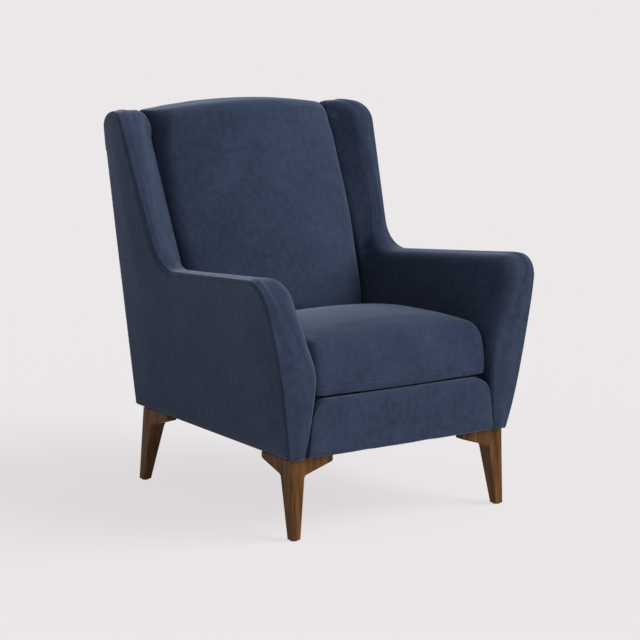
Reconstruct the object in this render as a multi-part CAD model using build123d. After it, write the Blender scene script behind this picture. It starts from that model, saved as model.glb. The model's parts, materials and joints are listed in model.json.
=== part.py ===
from build123d import *
from math import atan, cos, degrees, radians, sin, sqrt, tan
import os

# Accent armchair with flared arms, short wings and a loose seat cushion.
# Millimetres. +Z is up, the seat faces -Y, and the origin lies on the floor
# under the middle of the chair.

# Overall sizes
DEPTH = 764.0               # bow of the arm fronts to the outside back
HEIGHT = 922.0              # floor to the crown of the back pad
BASE_HEIGHT = 182.0         # floor to the underside of the seat frame
BASE_FRONT_WIDTH = 600.0
BASE_BACK_WIDTH = 568.0
FRONT_FLARE = 11.7          # lean of the side at the base front, degrees
BACK_FLARE = 4.6            # lean of the side at the back, degrees

# Side outline, seen from the side
BOW_DEPTH = 29.0            # how far the arm front bows ahead of the legs
BOW_RADIUS = 1400.0
BOW_HEIGHT = 414.0          # height of the foremost point of the bow
ARM_FRONT_HEIGHT = 588.0    # arm top, carried on to the bow
ARM_BACK_HEIGHT = 540.0     # arm top, carried on to the wing
ARM_FRONT_RADIUS = 60.0
ARM_BACK_RADIUS = 60.0
BACK_DEPTH = 231.0          # wing's front edge at the arm to the outside back
WING_HEAD = 105.5           # wing's front edge at its top to the outside back
WING_DROP = 17.0            # crown of the back pad above the wings' tops
WING_TOP_RADIUS = 70.0
WING_BACK_RADIUS = 20.0
TOP_FILL = 0.9              # share of a top edge that its roundings may take up
BACK_LEAN = 2.4             # lean of the outside back, degrees
BASE_EDGE_RADIUS = 14.0

# Layers of the upholstered side, from outside to inside
PANEL = 4.0                 # outside panel: board with its cover
FRAME = 24.0                # timbers of the side frame
EDGE_PAD = 16.0             # padding over the edges of the frame
FIT = 0.3                   # clearance between neighbouring pieces

# Seat hollow between the arm pads
HOLLOW_FRONT = 243.0        # half width at the waist, at the front
HOLLOW_BACK = 215.0         # half width at the waist, at the back
HOLLOW_WAIST = 365.0        # height of the narrowest place
HOLLOW_SPREAD = 19.0        # lean of the arm's inside above the waist, degrees
HOLLOW_TUCK = 6.0           # lean of the arm's inside below the waist, degrees
HOLLOW_RADIUS = 200.0
ARM_ROLL = 26.0             # rounding of the arm's inner edge

# Wing and back
WING_THROAT = 306.0         # half width between the wings' inner front edges
WING_ROLL = 20.0            # rounding of that edge
WING_NOSE = 8.0             # depth of the wing's blunt front edge
BACK_HALF = 255.0           # half width between the wings at the back pad
BACK_SEAT = 75.0            # wing's front edge to the back straps
WING_SLANT = 68.0           # wing's front edge to the crease at the back pad
CAP = 35.0                  # padding over the top of the back frame
PAD_CROWN = 40.0            # back pad's crown ahead of the wing's front edge
PAD_EDGE = 8.0              # back pad's side edge behind the wing's front edge
PAD_ROLL = 45.0             # rounding of the back pad's side edges
PAD_TOP_ROLL = 60.0
PAD_BACK_ROLL = 18.0
PAD_ARCH = 20.0             # rise of the back pad's top from its ends
PAD_FOOT = 73.0             # back pad's upright foot ahead of the wing at the arm
PAD_BOTTOM = 300.0

# Seat
RAIL = 26.0                 # thickness of the front and back seat rails
RAIL_FRONT = 4.0            # base front to the front rail
RAIL_HEIGHT = 108.0
POST = 45.0                 # width of the front posts and of the arm rails
BACK_POST = 40.0
SPRING_RAIL = 30.0
SPRING_RAIL_HEIGHT = 70.0
SPRING_RAIL_BEHIND = 39.0   # back pad's foot to the rear spring rail
SEAT_PITCH = 2.5            # fall of the seat towards the back, degrees
DECK = 18.0                 # thickness of the deck pad
BLOCK = 60.0                # leg length of a corner block
BLOCK_HEIGHT = 80.0
TOP_RAIL_HEIGHT = 80.0
TOP_RAIL = 28.0

# Springs and straps
WIRE = 3.8
SPRING_COUNT = 5
SPRING_STEP = 86.0
SPRING_WAVES = 11
SPRING_SWING = 22.0         # half width of the sinuous wire
SPRING_BEND = 9.0
SPRING_BAR = 12.0           # half length of the straight end bar
CLIP_LENGTH = 20.0
CLIP_WALL = 1.6
CLIP_LIP = 8.0
STRAP = 2.0
STRAP_WIDTH = 60.0
STRAP_COUNT = 4
STRAP_LOW = 400.0           # floor to the lowest strap
STRAP_HIGH = 85.0           # highest strap below the top of the back frame
STRAP_END = 18.0            # strap end short of the side's outer face

# Loose cushion
CUSHION_REACH = 24.0        # cushion's front ahead of the base front
CUSHION_EDGE = 132.0        # thickness at the sides
CUSHION_CROWN = 14.0
CUSHION_GAP = 2.0           # cushion to each arm at the corners
CUSHION_DRAW = 5.0          # how far the sides draw in between the corners
CUSHION_BOW = 12.0          # bow of the front
CUSHION_CORNER = 42.0
CUSHION_TOP_ROLL = 36.0
CUSHION_FOOT_ROLL = 16.0
COVER = 3.0
ZIP_LENGTH = 380.0
ZIP_WIDTH = 26.0
ZIP_HEIGHT = 52.0           # cushion's underside to the zip
SLIDER_LENGTH = 14.0
SLIDER_WIDTH = 9.0
SLIDER_THICK = 3.0

# Apron
APRON_REACH = 20.0          # apron's front ahead of the base front
APRON_BOW = 4.0
APRON_ROLL = 10.0
APRON_CORNER = 28.0

# Legs
LEG_INSET = 2.0             # leg's outer face inside the base edge
BACK_LEG_INSET = 35.0       # back leg's rear face inside the base's back edge
LEG_FRONT_RAKE = (-1.0, 9.0)
LEG_BACK_RAKE = (9.0, 9.0)
LEG_ARM = 116.0
LEG_ARM_THICK = 26.0
LEG_TIP = 14.0
LEG_ROOT = 38.0
LEG_TOP = 39.0              # side of the column under the arms
LEG_FOOT = 22.0             # side of the column at the floor
LEG_BEND = 9.0
LEG_TIP_RADIUS = 6.0
LEG_EDGE = 2.5
GLIDE = 2.5
GLIDE_DIAMETER = 17.0
DUST_COVER = 1.0
DUST_INSET = 9.0
SCREW = 4.0
SCREW_HEAD = 8.0
SCREW_HEAD_THICK = 3.0
SCREW_BITE = 9.0            # wood left under a screw head
SCREW_LENGTH = 38.0
SCREW_PLACES = (62.0, 98.0)
SCREW_LINE = 14.0           # leg's outer face to the line of screws

# Places worked out from the sizes
FRONT = -DEPTH / 2
BACK = DEPTH / 2
BASE_FRONT = FRONT + BOW_DEPTH
LEG_HEIGHT = BASE_HEIGHT - DUST_COVER
RAIL_TOP = BASE_HEIGHT + RAIL_HEIGHT
WING_TOP = HEIGHT - WING_DROP
PANEL_TOP = WING_TOP - WING_BACK_RADIUS
CAP_FLOOR = WING_TOP - CAP
LEAN = tan(radians(BACK_LEAN))
WING_LINE = BACK - BACK_DEPTH
WING_RUN = BACK_DEPTH - WING_HEAD + LEAN * WING_BACK_RADIUS
RAKE = WING_RUN / (WING_TOP - ARM_BACK_HEIGHT)
BACK_RAKE = degrees(atan(RAKE))
PAD_FRONT = WING_LINE - PAD_FOOT
CUSHION_FRONT = BASE_FRONT - CUSHION_REACH
CUSHION_DEPTH = PAD_FRONT - CUSHION_FRONT - SLIDER_THICK - 3 * CUSHION_GAP
SPRING_RAIL_FRONT = PAD_FRONT + SPRING_RAIL_BEHIND
ARM_SLOPE = (ARM_FRONT_HEIGHT - ARM_BACK_HEIGHT) / (WING_LINE - FRONT)
FRAME_OUT = PANEL + FIT
FRAME_IN = FRAME_OUT + FRAME
POST_FRONT = EDGE_PAD / cos(radians(BACK_RAKE)) + 2 * FIT
REACH = DEPTH               # far enough to pass through the whole chair


def side_x(y, z):
    """Half width of the outside at depth y and height z."""
    rise = z - BASE_HEIGHT
    front = BASE_FRONT_WIDTH / 2 + tan(radians(FRONT_FLARE)) * rise
    back = BASE_BACK_WIDTH / 2 + tan(radians(BACK_FLARE)) * rise
    share = (y - BASE_FRONT) / (BACK - BASE_FRONT)
    return front + (back - front) * share


def wing_y(z, behind=0.0):
    """Depth of the wing's front edge at height z, or of a line behind it."""
    return WING_LINE + RAKE * (z - ARM_BACK_HEIGHT) + behind


def back_y(z, inside=0.0):
    """Depth of the outside back at height z, or of a line inside it."""
    return BACK + LEAN * (z - PANEL_TOP) - inside


def arm_z(y, below=0.0):
    """Height of the arm top at depth y, or of a line below it."""
    return ARM_FRONT_HEIGHT - ARM_SLOPE * (y - FRONT) - below


def bow_y(z):
    """Depth of the bowed arm front at height z."""
    return FRONT + BOW_RADIUS - sqrt(BOW_RADIUS ** 2 - (z - BOW_HEIGHT) ** 2)


def across(outline):
    """Prism over the whole width from an outline in depth and height."""
    return extrude(Plane.YZ * outline, REACH, both=True)


def polygon(*points):
    """Flat face with straight sides."""
    return make_face(Polyline(*points, close=True))


def corner_at(face, point):
    """The corner of a flat face that lies nearest to a point."""
    return face.vertices().sort_by_distance((point[0], point[1], 0))[0]


def rounded(face, *corners):
    """Flat face with the named corners rounded, each a point and a radius."""
    for point, radius in corners:
        face = fillet(corner_at(face, point), radius)
    return face


def between_sides(inset):
    """Solid between the two flared sides, each drawn in by inset along X."""
    low = -BASE_HEIGHT
    high = HEIGHT + BASE_HEIGHT
    sections = []
    for y in (FRONT - BASE_HEIGHT, BACK + BASE_HEIGHT):
        foot = side_x(y, low) - inset
        head = side_x(y, high) - inset
        corners = [(-foot, y, low), (foot, y, low), (head, y, high), (-head, y, high)]
        sections.append(Face(Wire.make_polygon(corners)))
    return loft(sections, ruled=True)


def right_layer(outer, inner):
    """Layer of the right side between two insets from its outside."""
    half = Pos(REACH, 0, 0) * Box(2 * REACH, 4 * REACH, 4 * REACH)
    return (between_sides(outer) - between_sides(inner)) & half


def to_left(part):
    """The left twin of a right piece."""
    return mirror(part, about=Plane.YZ)


def side_outline():
    """Arm and wing seen from the side."""
    bow_foot = (bow_y(BASE_HEIGHT), BASE_HEIGHT)
    bow_head = (bow_y(ARM_FRONT_HEIGHT), ARM_FRONT_HEIGHT)
    arm_back = (WING_LINE, ARM_BACK_HEIGHT)
    wing_head = (wing_y(WING_TOP), WING_TOP)
    back_head = (back_y(WING_TOP), WING_TOP)
    back_foot = (back_y(BASE_HEIGHT), BASE_HEIGHT)
    share = top_share(WING_HEAD, WING_TOP_RADIUS, WING_BACK_RADIUS)
    front = ThreePointArc(bow_foot, (FRONT, BOW_HEIGHT), bow_head)
    rest = Polyline(bow_head, arm_back, wing_head, back_head, back_foot, bow_foot)
    return rounded(
        make_face(front + rest),
        (bow_head, ARM_FRONT_RADIUS),
        (arm_back, ARM_BACK_RADIUS),
        (wing_head, share * WING_TOP_RADIUS),
        (back_head, share * WING_BACK_RADIUS),
        (back_foot, BASE_EDGE_RADIUS),
    )


def top_share(room, *radii):
    """Share of the roundings along a top edge that its length has room for."""
    return min(1.0, TOP_FILL * room / sum(radii))


def pocket_outline(fit=0.0):
    """Room for the side frame inside the padding, seen from the side."""
    front = BASE_FRONT + RAIL_FRONT + fit
    drop = (EDGE_PAD + fit) / cos(radians(BACK_RAKE))
    edge = EDGE_PAD + fit
    arm_front = (front, arm_z(front, edge))
    wing_low = wing_y(ARM_BACK_HEIGHT - edge, drop)
    arm_back = (wing_low, arm_z(wing_low, edge))
    top = CAP_FLOOR - fit
    wing_head = (wing_y(top, drop), top)
    back_head = (back_y(top), top)
    back_foot = (back_y(0), 0)
    outline = polygon((front, 0), arm_front, arm_back, wing_head, back_head, back_foot)
    return rounded(
        outline,
        (arm_front, ARM_FRONT_RADIUS - EDGE_PAD),
        (wing_head, WING_TOP_RADIUS / 2),
    )


def hollow_half(y, z):
    """Half width of the seat hollow at depth y and height z."""
    share = (y - FRONT) / DEPTH
    waist = HOLLOW_FRONT + (HOLLOW_BACK - HOLLOW_FRONT) * share
    lean = HOLLOW_SPREAD if z > HOLLOW_WAIST else HOLLOW_TUCK
    return waist + tan(radians(lean)) * abs(z - HOLLOW_WAIST)


def seat_hollow(inset):
    """Space between the arm pads, drawn in by inset along X."""
    low = 0.0
    high = HEIGHT + BASE_HEIGHT
    sections = []
    for y in (FRONT - BOW_DEPTH, BACK + BOW_DEPTH):
        points = []
        for z in (low, HOLLOW_WAIST, high):
            points.append((hollow_half(y, z) - inset, z))
        left = [(-x, z) for x, z in reversed(points)]
        face = polygon(*points, *left)
        face = rounded(face, (points[1], HOLLOW_RADIUS), (left[1], HOLLOW_RADIUS))
        sections.append(Plane.XZ.offset(-y) * face)
    return loft(sections, ruled=True)


def pad_outline():
    """Arm pad seen from the side, open behind the back straps."""
    front = FRONT - BOW_DEPTH
    keep = polygon(
        (front, 0),
        (front, HEIGHT),
        (back_y(HEIGHT, PANEL + FIT), HEIGHT),
        (back_y(CAP_FLOOR, PANEL + FIT), CAP_FLOOR),
        (wing_y(CAP_FLOOR, BACK_SEAT), CAP_FLOOR),
        (wing_y(0, BACK_SEAT), 0),
    )
    return side_outline() & keep


def arm_roll():
    """Right inside arm with its rounded inner edge, up to the arm top."""
    behind = wing_y(ARM_BACK_HEIGHT, BACK_SEAT)
    under_arm = polygon(
        (FRONT - BOW_DEPTH, 0),
        (FRONT - BOW_DEPTH, arm_z(FRONT - BOW_DEPTH)),
        (behind, arm_z(behind)),
        (behind, 0),
    )
    half = Pos(REACH, 0, 0) * Box(2 * REACH, 4 * REACH, 4 * REACH)
    outline = side_outline() & under_arm & pad_outline()
    block = (half & across(outline)) - seat_hollow(0)
    inner = block.edges().filter_by(lambda e: is_arm_inner_edge(e))
    beside_apron = Box(4 * REACH, 4 * REACH, 2 * APRON_TOP)
    return fillet(inner, ARM_ROLL) + (block & beside_apron)


def is_arm_inner_edge(edge):
    """True for the edges where the arm's inside meets its front and top."""
    middle = edge @ 0.5
    on_hollow = abs(middle.X - hollow_half(middle.Y, middle.Z)) < ARM_ROLL / 2
    starts = edge @ 0
    ends = edge @ 1
    on_front = middle.Y < BASE_FRONT and middle.Z > BASE_HEIGHT + FIT
    on_top = middle.Z > arm_z(middle.Y) - 1 and abs(starts.Y - ends.Y) > ARM_FRONT_RADIUS
    return on_hollow and (on_front or on_top)


def wing_wedge():
    """Right wing with its slanted inside, full height."""
    sections = []
    for z in (BASE_HEIGHT, HEIGHT):
        nose = wing_y(z)
        points = [
            (REACH, nose - BOW_DEPTH),
            (REACH, REACH),
            (BACK_HALF, REACH),
            (BACK_HALF, nose + WING_SLANT),
            (WING_THROAT, nose + WING_NOSE),
            (WING_THROAT, nose - BOW_DEPTH),
        ]
        face = rounded(polygon(*points), (points[4], WING_ROLL))
        sections.append(Plane.XY.offset(z) * face)
    return loft(sections, ruled=True)


def arm_pad():
    """Right inside arm and wing, one pad round the side frame."""
    pad = arm_roll() + (wing_wedge() & across(pad_outline()))
    pad = pad & between_sides(FRAME_OUT)
    pocket = right_layer(0, FRAME_IN) & across(pocket_outline())
    inside = polygon(
        (BASE_FRONT + RAIL_FRONT - FIT, 0),
        (BASE_FRONT + RAIL_FRONT - FIT, RAIL_TOP + FIT),
        (BACK, RAIL_TOP + FIT),
        (BACK, 0),
    )
    below_seat = between_sides(FRAME_IN) & across(inside)
    return pad - pocket - below_seat


def outside_panel():
    """Right outside panel, the full side outline."""
    return right_layer(0, PANEL) & across(side_outline())


def side_timber(outline):
    """Timber of the right side frame from its outline seen from the side."""
    layer = right_layer(FRAME_OUT + FIT, FRAME_IN - FIT)
    return layer & across(outline & pocket_outline(FIT))


def front_post():
    """Right front post, from the base to the arm rail."""
    front = BASE_FRONT
    behind = BASE_FRONT + RAIL_FRONT + FIT + POST
    below = EDGE_PAD + POST
    return side_timber(polygon(
        (front, BASE_HEIGHT),
        (behind, BASE_HEIGHT),
        (behind, arm_z(behind, below)),
        (front, arm_z(front, below)),
    ))


def arm_rail():
    """Right arm rail, from the front post to the wing post."""
    top = EDGE_PAD
    below = EDGE_PAD + POST
    strip = polygon(
        (FRONT, arm_z(FRONT, top)),
        (BACK, arm_z(BACK, top)),
        (BACK, arm_z(BACK, below)),
        (FRONT, arm_z(FRONT, below)),
    )
    ahead = polygon(
        (FRONT, 0),
        (wing_y(0, POST_FRONT - FIT), 0),
        (wing_y(HEIGHT, POST_FRONT - FIT), HEIGHT),
        (FRONT, HEIGHT),
    )
    return side_timber(strip & ahead)


def wing_post():
    """Right raked post, from the seat rail to the top of the wing."""
    post = polygon(
        (wing_y(RAIL_TOP, POST_FRONT), RAIL_TOP),
        (wing_y(RAIL_TOP, BACK_SEAT - FIT), RAIL_TOP),
        (wing_y(CAP_FLOOR, BACK_SEAT - FIT), CAP_FLOOR),
        (wing_y(CAP_FLOOR, POST_FRONT), CAP_FLOOR),
    )
    clear_of_back = polygon(
        (FRONT, 0),
        (back_y(0, PANEL + BACK_POST + 2 * FIT), 0),
        (back_y(HEIGHT, PANEL + BACK_POST + 2 * FIT), HEIGHT),
        (FRONT, HEIGHT),
    )
    return side_timber(post & clear_of_back)


def back_strip(thick, low, high):
    """Outline of a timber that lies along the inside of the outside back."""
    near = PANEL + FIT
    return polygon(
        (back_y(low, near), low),
        (back_y(low, near + thick), low),
        (back_y(high, near + thick), high),
        (back_y(high, near), high),
    )


def back_post():
    """Right back post, from the base to the top of the frame."""
    return side_timber(back_strip(BACK_POST, BASE_HEIGHT, CAP_FLOOR))


def seat_rail():
    """Right seat rail, between the front post and the back post."""
    front = BASE_FRONT + RAIL_FRONT + 2 * FIT + POST
    near = PANEL + BACK_POST + 2 * FIT
    rail = side_timber(polygon(
        (front, BASE_HEIGHT),
        (back_y(BASE_HEIGHT, near), BASE_HEIGHT),
        (back_y(RAIL_TOP, near), RAIL_TOP - FIT),
        (front, RAIL_TOP - FIT),
    ))
    return rail - screw_holes()


def cross_rail(front, thick, low, high):
    """Rail from side frame to side frame."""
    outline = polygon(
        (front, low),
        (front + thick, low),
        (front + thick, high),
        (front, high),
    )
    return between_sides(FRAME_IN) & across(outline)


def front_rail():
    """Front seat rail, drilled for the leg screws."""
    front = BASE_FRONT + RAIL_FRONT
    return cross_rail(front, RAIL, BASE_HEIGHT, RAIL_TOP) - screw_holes()


def back_rail():
    """Back seat rail over the back legs, drilled for the leg screws."""
    return cross_rail(BACK_RAIL_FRONT, RAIL, BASE_HEIGHT, RAIL_TOP) - screw_holes()


def spring_rail():
    """Rail that holds the rear ends of the seat springs."""
    top = spring_z(SPRING_END) - WIRE / 2 - CLIP_WALL
    return cross_rail(SPRING_RAIL_FRONT, SPRING_RAIL, top - SPRING_RAIL_HEIGHT, top)


def top_rail():
    """Rail between the back posts under the back pad's top."""
    outline = back_strip(TOP_RAIL, CAP_FLOOR - TOP_RAIL_HEIGHT, CAP_FLOOR - FIT)
    return between_sides(FRAME_IN) & across(outline)


def corner_blocks():
    """Glued corner blocks behind the front rail and ahead of the back rail."""
    low = BASE_HEIGHT + (RAIL_HEIGHT - BLOCK_HEIGHT) / 2
    places = (
        (BASE_FRONT + RAIL_FRONT + RAIL + FIT, 1),
        (BACK_RAIL_FRONT - FIT, -1),
    )
    blocks = []
    for y, way in places:
        half = side_x(y, low) - FRAME_IN
        for side in (-1, 1):
            outline = polygon(
                (side * (half - BLOCK), y),
                (side * (half + FRAME), y),
                (side * (half + FRAME), y + way * (BLOCK + FRAME)),
            )
            block = Pos(0, 0, low) * extrude(outline, BLOCK_HEIGHT)
            blocks.append(block & between_sides(FRAME_IN))
    return Compound(children=blocks)


def spring_z(y):
    """Height of the middle of the spring wire at depth y."""
    at_front = RAIL_TOP + CLIP_WALL + WIRE / 2
    return at_front - tan(radians(SEAT_PITCH)) * (y - SPRING_START)


def seat_spring(x):
    """Sinuous seat spring at x, one unbroken wire from clip to clip."""
    step = (SPRING_END - SPRING_START) / (2 * SPRING_WAVES)
    route = [(x - SPRING_BAR, SPRING_START)]
    for turn in range(2 * SPRING_WAVES):
        swing = SPRING_SWING if turn % 2 == 0 else -SPRING_SWING
        route.append((x + swing, SPRING_START + step * turn))
        route.append((x + swing, SPRING_START + step * (turn + 1)))
    route.append((x + SPRING_BAR, SPRING_END))
    points = [(px, py, spring_z(py)) for px, py in route]
    path = FilletPolyline(*points, radius=SPRING_BEND)
    return sweep(Plane(path @ 0, z_dir=path % 0) * Circle(WIRE / 2), path=path)


def spring_places():
    """Places of the seat springs across the seat."""
    middle = (SPRING_COUNT - 1) / 2
    return [SPRING_STEP * (count - middle) for count in range(SPRING_COUNT)]


def spring_clips():
    """Steel clips that hold the end bars of the springs to the rails."""
    gap = WIRE / 2 + FIT
    wall = gap + CLIP_WALL
    clips = []
    for y, way in ((SPRING_START, 1), (SPRING_END, -1)):
        jaw = polygon(
            (-way * wall, -wall + FIT),
            (way * CLIP_LIP, -wall + FIT),
            (way * CLIP_LIP, -gap),
            (-way * gap, -gap),
            (-way * gap, gap),
            (way * CLIP_LIP, gap),
            (way * CLIP_LIP, wall),
            (-way * wall, wall),
        )
        for x in spring_places():
            clip = extrude(Plane.YZ * jaw, CLIP_LENGTH / 2, both=True)
            clips.append(Pos(x, y, spring_z(y)) * clip)
    return Compound(children=clips)


def back_strap(height):
    """Elastic back strap stapled across the wing posts at a height."""
    outline = polygon(
        (wing_y(height, BACK_SEAT), height),
        (wing_y(height, BACK_SEAT + STRAP), height),
        (wing_y(height + STRAP_WIDTH, BACK_SEAT + STRAP), height + STRAP_WIDTH),
        (wing_y(height + STRAP_WIDTH, BACK_SEAT), height + STRAP_WIDTH),
    )
    return between_sides(STRAP_END) & across(outline)


def strap_heights():
    """Heights of the back straps, evenly spaced."""
    step = (CAP_FLOOR - STRAP_HIGH - STRAP_LOW) / (STRAP_COUNT - 1)
    return [STRAP_LOW + step * count for count in range(STRAP_COUNT)]


def back_pad():
    """Crowned back pad, rolled over the top rail."""
    front = -PAD_CROWN
    rear = BACK_SEAT - FIT
    knee = ARM_BACK_HEIGHT + (PAD_CROWN - PAD_FOOT) / RAKE
    head = (wing_y(HEIGHT, front), HEIGHT)
    tail = (back_y(HEIGHT, PANEL + FIT), HEIGHT)
    section = polygon(
        (PAD_FRONT, PAD_BOTTOM),
        (PAD_FRONT, knee),
        head,
        tail,
        (back_y(CAP_FLOOR, PANEL + FIT), CAP_FLOOR + FIT),
        (wing_y(CAP_FLOOR, rear), CAP_FLOOR + FIT),
        (wing_y(PAD_BOTTOM, rear), PAD_BOTTOM),
    )
    share = top_share(tail[0] - head[0], PAD_TOP_ROLL, PAD_BACK_ROLL)
    section = rounded(section, (head, share * PAD_TOP_ROLL), (tail, share * PAD_BACK_ROLL))
    half = BACK_HALF - FIT
    ends = HEIGHT - PAD_ARCH
    arch = ThreePointArc((half, ends), (0, HEIGHT), (-half, ends))
    sides = Polyline(
        (-half, ends),
        (-REACH, ends),
        (-REACH, 0),
        (REACH, 0),
        (REACH, ends),
        (half, ends),
    )
    face_on = extrude(Plane.XZ * make_face(arch + sides), REACH, both=True)
    crown = ThreePointArc((-half, PAD_EDGE), (0, front), (half, PAD_EDGE))
    rest = Polyline((half, PAD_EDGE), (half, REACH), (-half, REACH), (-half, PAD_EDGE))
    plan = rounded(
        make_face(crown + rest),
        ((-half, PAD_EDGE), PAD_ROLL),
        ((half, PAD_EDGE), PAD_ROLL),
    )
    base = Pos(0, wing_y(0), 0) * plan
    climb = HEIGHT / cos(radians(BACK_RAKE))
    raked = extrude(base, climb, dir=(0, sin(radians(BACK_RAKE)), cos(radians(BACK_RAKE))))
    return across(section) & face_on & raked & seat_hollow(CUSHION_GAP)


def outside_back():
    """Outside back panel between the outside panels."""
    outline = polygon(
        (back_y(BASE_HEIGHT), BASE_HEIGHT),
        (back_y(BASE_HEIGHT, PANEL), BASE_HEIGHT),
        (back_y(PANEL_TOP, PANEL), PANEL_TOP),
        (back_y(PANEL_TOP), PANEL_TOP),
    )
    return between_sides(FRAME_OUT) & across(outline)


def apron_pad():
    """Padded front border under the cushion."""
    front = BASE_FRONT - APRON_REACH
    rear = BASE_FRONT + RAIL_FRONT - FIT
    half = hollow_half(FRONT, BASE_HEIGHT)
    bow = ThreePointArc((-half, front), (0, front - APRON_BOW), (half, front))
    rest = Polyline((half, front), (half, rear), (-half, rear), (-half, front))
    block = Pos(0, 0, BASE_HEIGHT) * extrude(make_face(bow + rest), APRON_TOP - BASE_HEIGHT)
    pad = block & seat_hollow(FIT)
    ends = pad.edges().filter_by(lambda e: is_apron_end(e))
    pad = fillet(ends, APRON_CORNER)
    return fillet(pad.faces().sort_by(Axis.Y)[0].edges(), APRON_ROLL)


def is_apron_end(edge):
    """True for the two top edges that run from front to back."""
    runs_back = abs((edge @ 0).Y - (edge @ 1).Y) > APRON_REACH / 2
    return runs_back and (edge @ 0.5).Z > APRON_TOP - FIT


def deck_pad():
    """Lined deck pad on the springs, under the loose cushion."""
    front = BASE_FRONT + RAIL_FRONT
    rear = PAD_FRONT + BACK_SEAT
    outline = polygon(
        (front, spring_z(front) + DECK_LIFT),
        (rear, spring_z(rear) + DECK_LIFT),
        (rear, spring_z(rear) + DECK_LIFT + DECK),
        (front, spring_z(front) + DECK_LIFT + DECK),
    )
    return across(outline) & seat_hollow(FIT) & between_sides(FRAME_IN)


def cushion_frame():
    """Frame of the cushion: its front edge on the pitched deck."""
    lift = DECK_LIFT + DECK + FIT
    return Pos(0, CUSHION_FRONT, spring_z(CUSHION_FRONT) + lift) * Rot(-SEAT_PITCH, 0, 0)


def cushion_plan(inset):
    """Cushion seen from above, drawn in all round by inset."""
    wide = hollow_half(CUSHION_FRONT, HOLLOW_WAIST) - CUSHION_GAP
    slim = hollow_half(CUSHION_FRONT + CUSHION_DEPTH, HOLLOW_WAIST) - CUSHION_GAP
    waist = (wide + slim) / 2 - CUSHION_DRAW - inset
    wide = wide - inset
    slim = slim - inset
    near = CUSHION_BOW + inset
    far = CUSHION_DEPTH - inset
    middle = (near + far) / 2
    front = ThreePointArc((-wide, near), (0, inset), (wide, near))
    right = ThreePointArc((wide, near), (waist, middle), (slim, far))
    rear = Line((slim, far), (-slim, far))
    left = ThreePointArc((-slim, far), (-waist, middle), (-wide, near))
    corner = CUSHION_CORNER - inset
    return rounded(
        make_face(front + right + rear + left),
        ((wide, near), corner),
        ((-wide, near), corner),
        ((slim, far), corner),
        ((-slim, far), corner),
    )


def cushion_form(inset):
    """Crowned cushion with drawn-in sides, drawn in all round by inset."""
    thick = CUSHION_EDGE + CUSHION_CROWN
    block = Pos(0, 0, inset) * extrude(cushion_plan(inset), thick - inset)
    dome = (HOLLOW_FRONT ** 2 + CUSHION_CROWN ** 2) / (2 * CUSHION_CROWN)
    ball = Pos(0, CUSHION_DEPTH / 2, thick - dome) * Rot(90, 0, 0) * Sphere(dome - inset)
    form = block & ball
    foot = form.edges().group_by(Axis.Z)[0]
    form = fillet(foot, CUSHION_FOOT_ROLL - inset)
    head = form.edges().filter_by(lambda e: is_cushion_head(e))
    return fillet(head, CUSHION_TOP_ROLL - inset)


def is_cushion_head(edge):
    """True for the edges round the cushion's crowned top."""
    upright = abs((edge @ 0).Z - (edge @ 1).Z) > CUSHION_EDGE / 4
    return (edge @ 0.5).Z > CUSHION_EDGE / 2 and not upright


def zip_box(grow, depth):
    """Room of the zip in the rear of the cushion cover."""
    length = ZIP_LENGTH + 2 * grow
    width = ZIP_WIDTH + 2 * grow
    return Pos(0, CUSHION_DEPTH, ZIP_HEIGHT) * Box(length, depth, width)


def cushion_cover():
    """Velvet cover of the loose cushion with its zip opening."""
    shell = cushion_form(0) - cushion_form(COVER) - zip_box(FIT, 4 * COVER)
    return cushion_frame() * shell


def cushion_core():
    """Foam core of the loose cushion."""
    return cushion_frame() * cushion_form(COVER + FIT)


def zip_tape():
    """Zip tape in the opening of the cover."""
    tape = Pos(0, -COVER / 2, 0) * zip_box(0, COVER - FIT)
    return cushion_frame() * tape


def zip_slider():
    """Zip slider, at the closed end of the zip."""
    x = -ZIP_LENGTH / 2 + SLIDER_LENGTH
    y = CUSHION_DEPTH + SLIDER_THICK / 2 + FIT / 2
    body = Box(SLIDER_LENGTH, SLIDER_THICK, SLIDER_WIDTH)
    body = fillet(body.edges().filter_by(Axis.Y), SLIDER_WIDTH / 4)
    return cushion_frame() * Pos(x, y, ZIP_HEIGHT) * body


def leg_profile(rake):
    """Leg seen from one side: bracket arm and tapered column."""
    top = LEG_HEIGHT
    tip = (LEG_ARM, top - LEG_TIP)
    root = (LEG_TOP, top - LEG_ROOT)
    face = polygon(
        (0, top),
        (LEG_ARM, top),
        tip,
        root,
        (LEG_FOOT - rake, GLIDE),
        (-rake, GLIDE),
    )
    return rounded(face, (tip, LEG_TIP_RADIUS), (root, LEG_BEND))


def leg(rake):
    """Bracket leg with its outer corner on the Z axis and arms along +X and +Y."""
    along_x = extrude(Plane.XZ * leg_profile(rake[0]), REACH, both=True)
    along_y = extrude(Plane.YZ * leg_profile(rake[1]), REACH, both=True)
    body = along_x & along_y
    for start in ((LEG_TOP, LEG_ARM_THICK), (LEG_ARM_THICK, LEG_TOP)):
        waste = Box(LEG_ARM, LEG_ARM, HEIGHT, align=(Align.MIN, Align.MIN, Align.CENTER))
        body = body - Pos(start[0], start[1], 0) * waste
    return fillet(body.edges().filter_by(lambda e: is_column_edge(e)), LEG_EDGE)


def is_column_edge(edge):
    """True for the long edges of a leg's column."""
    return edge.length > LEG_ARM and (edge @ 0.5).Z < LEG_HEIGHT - LEG_ROOT


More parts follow.
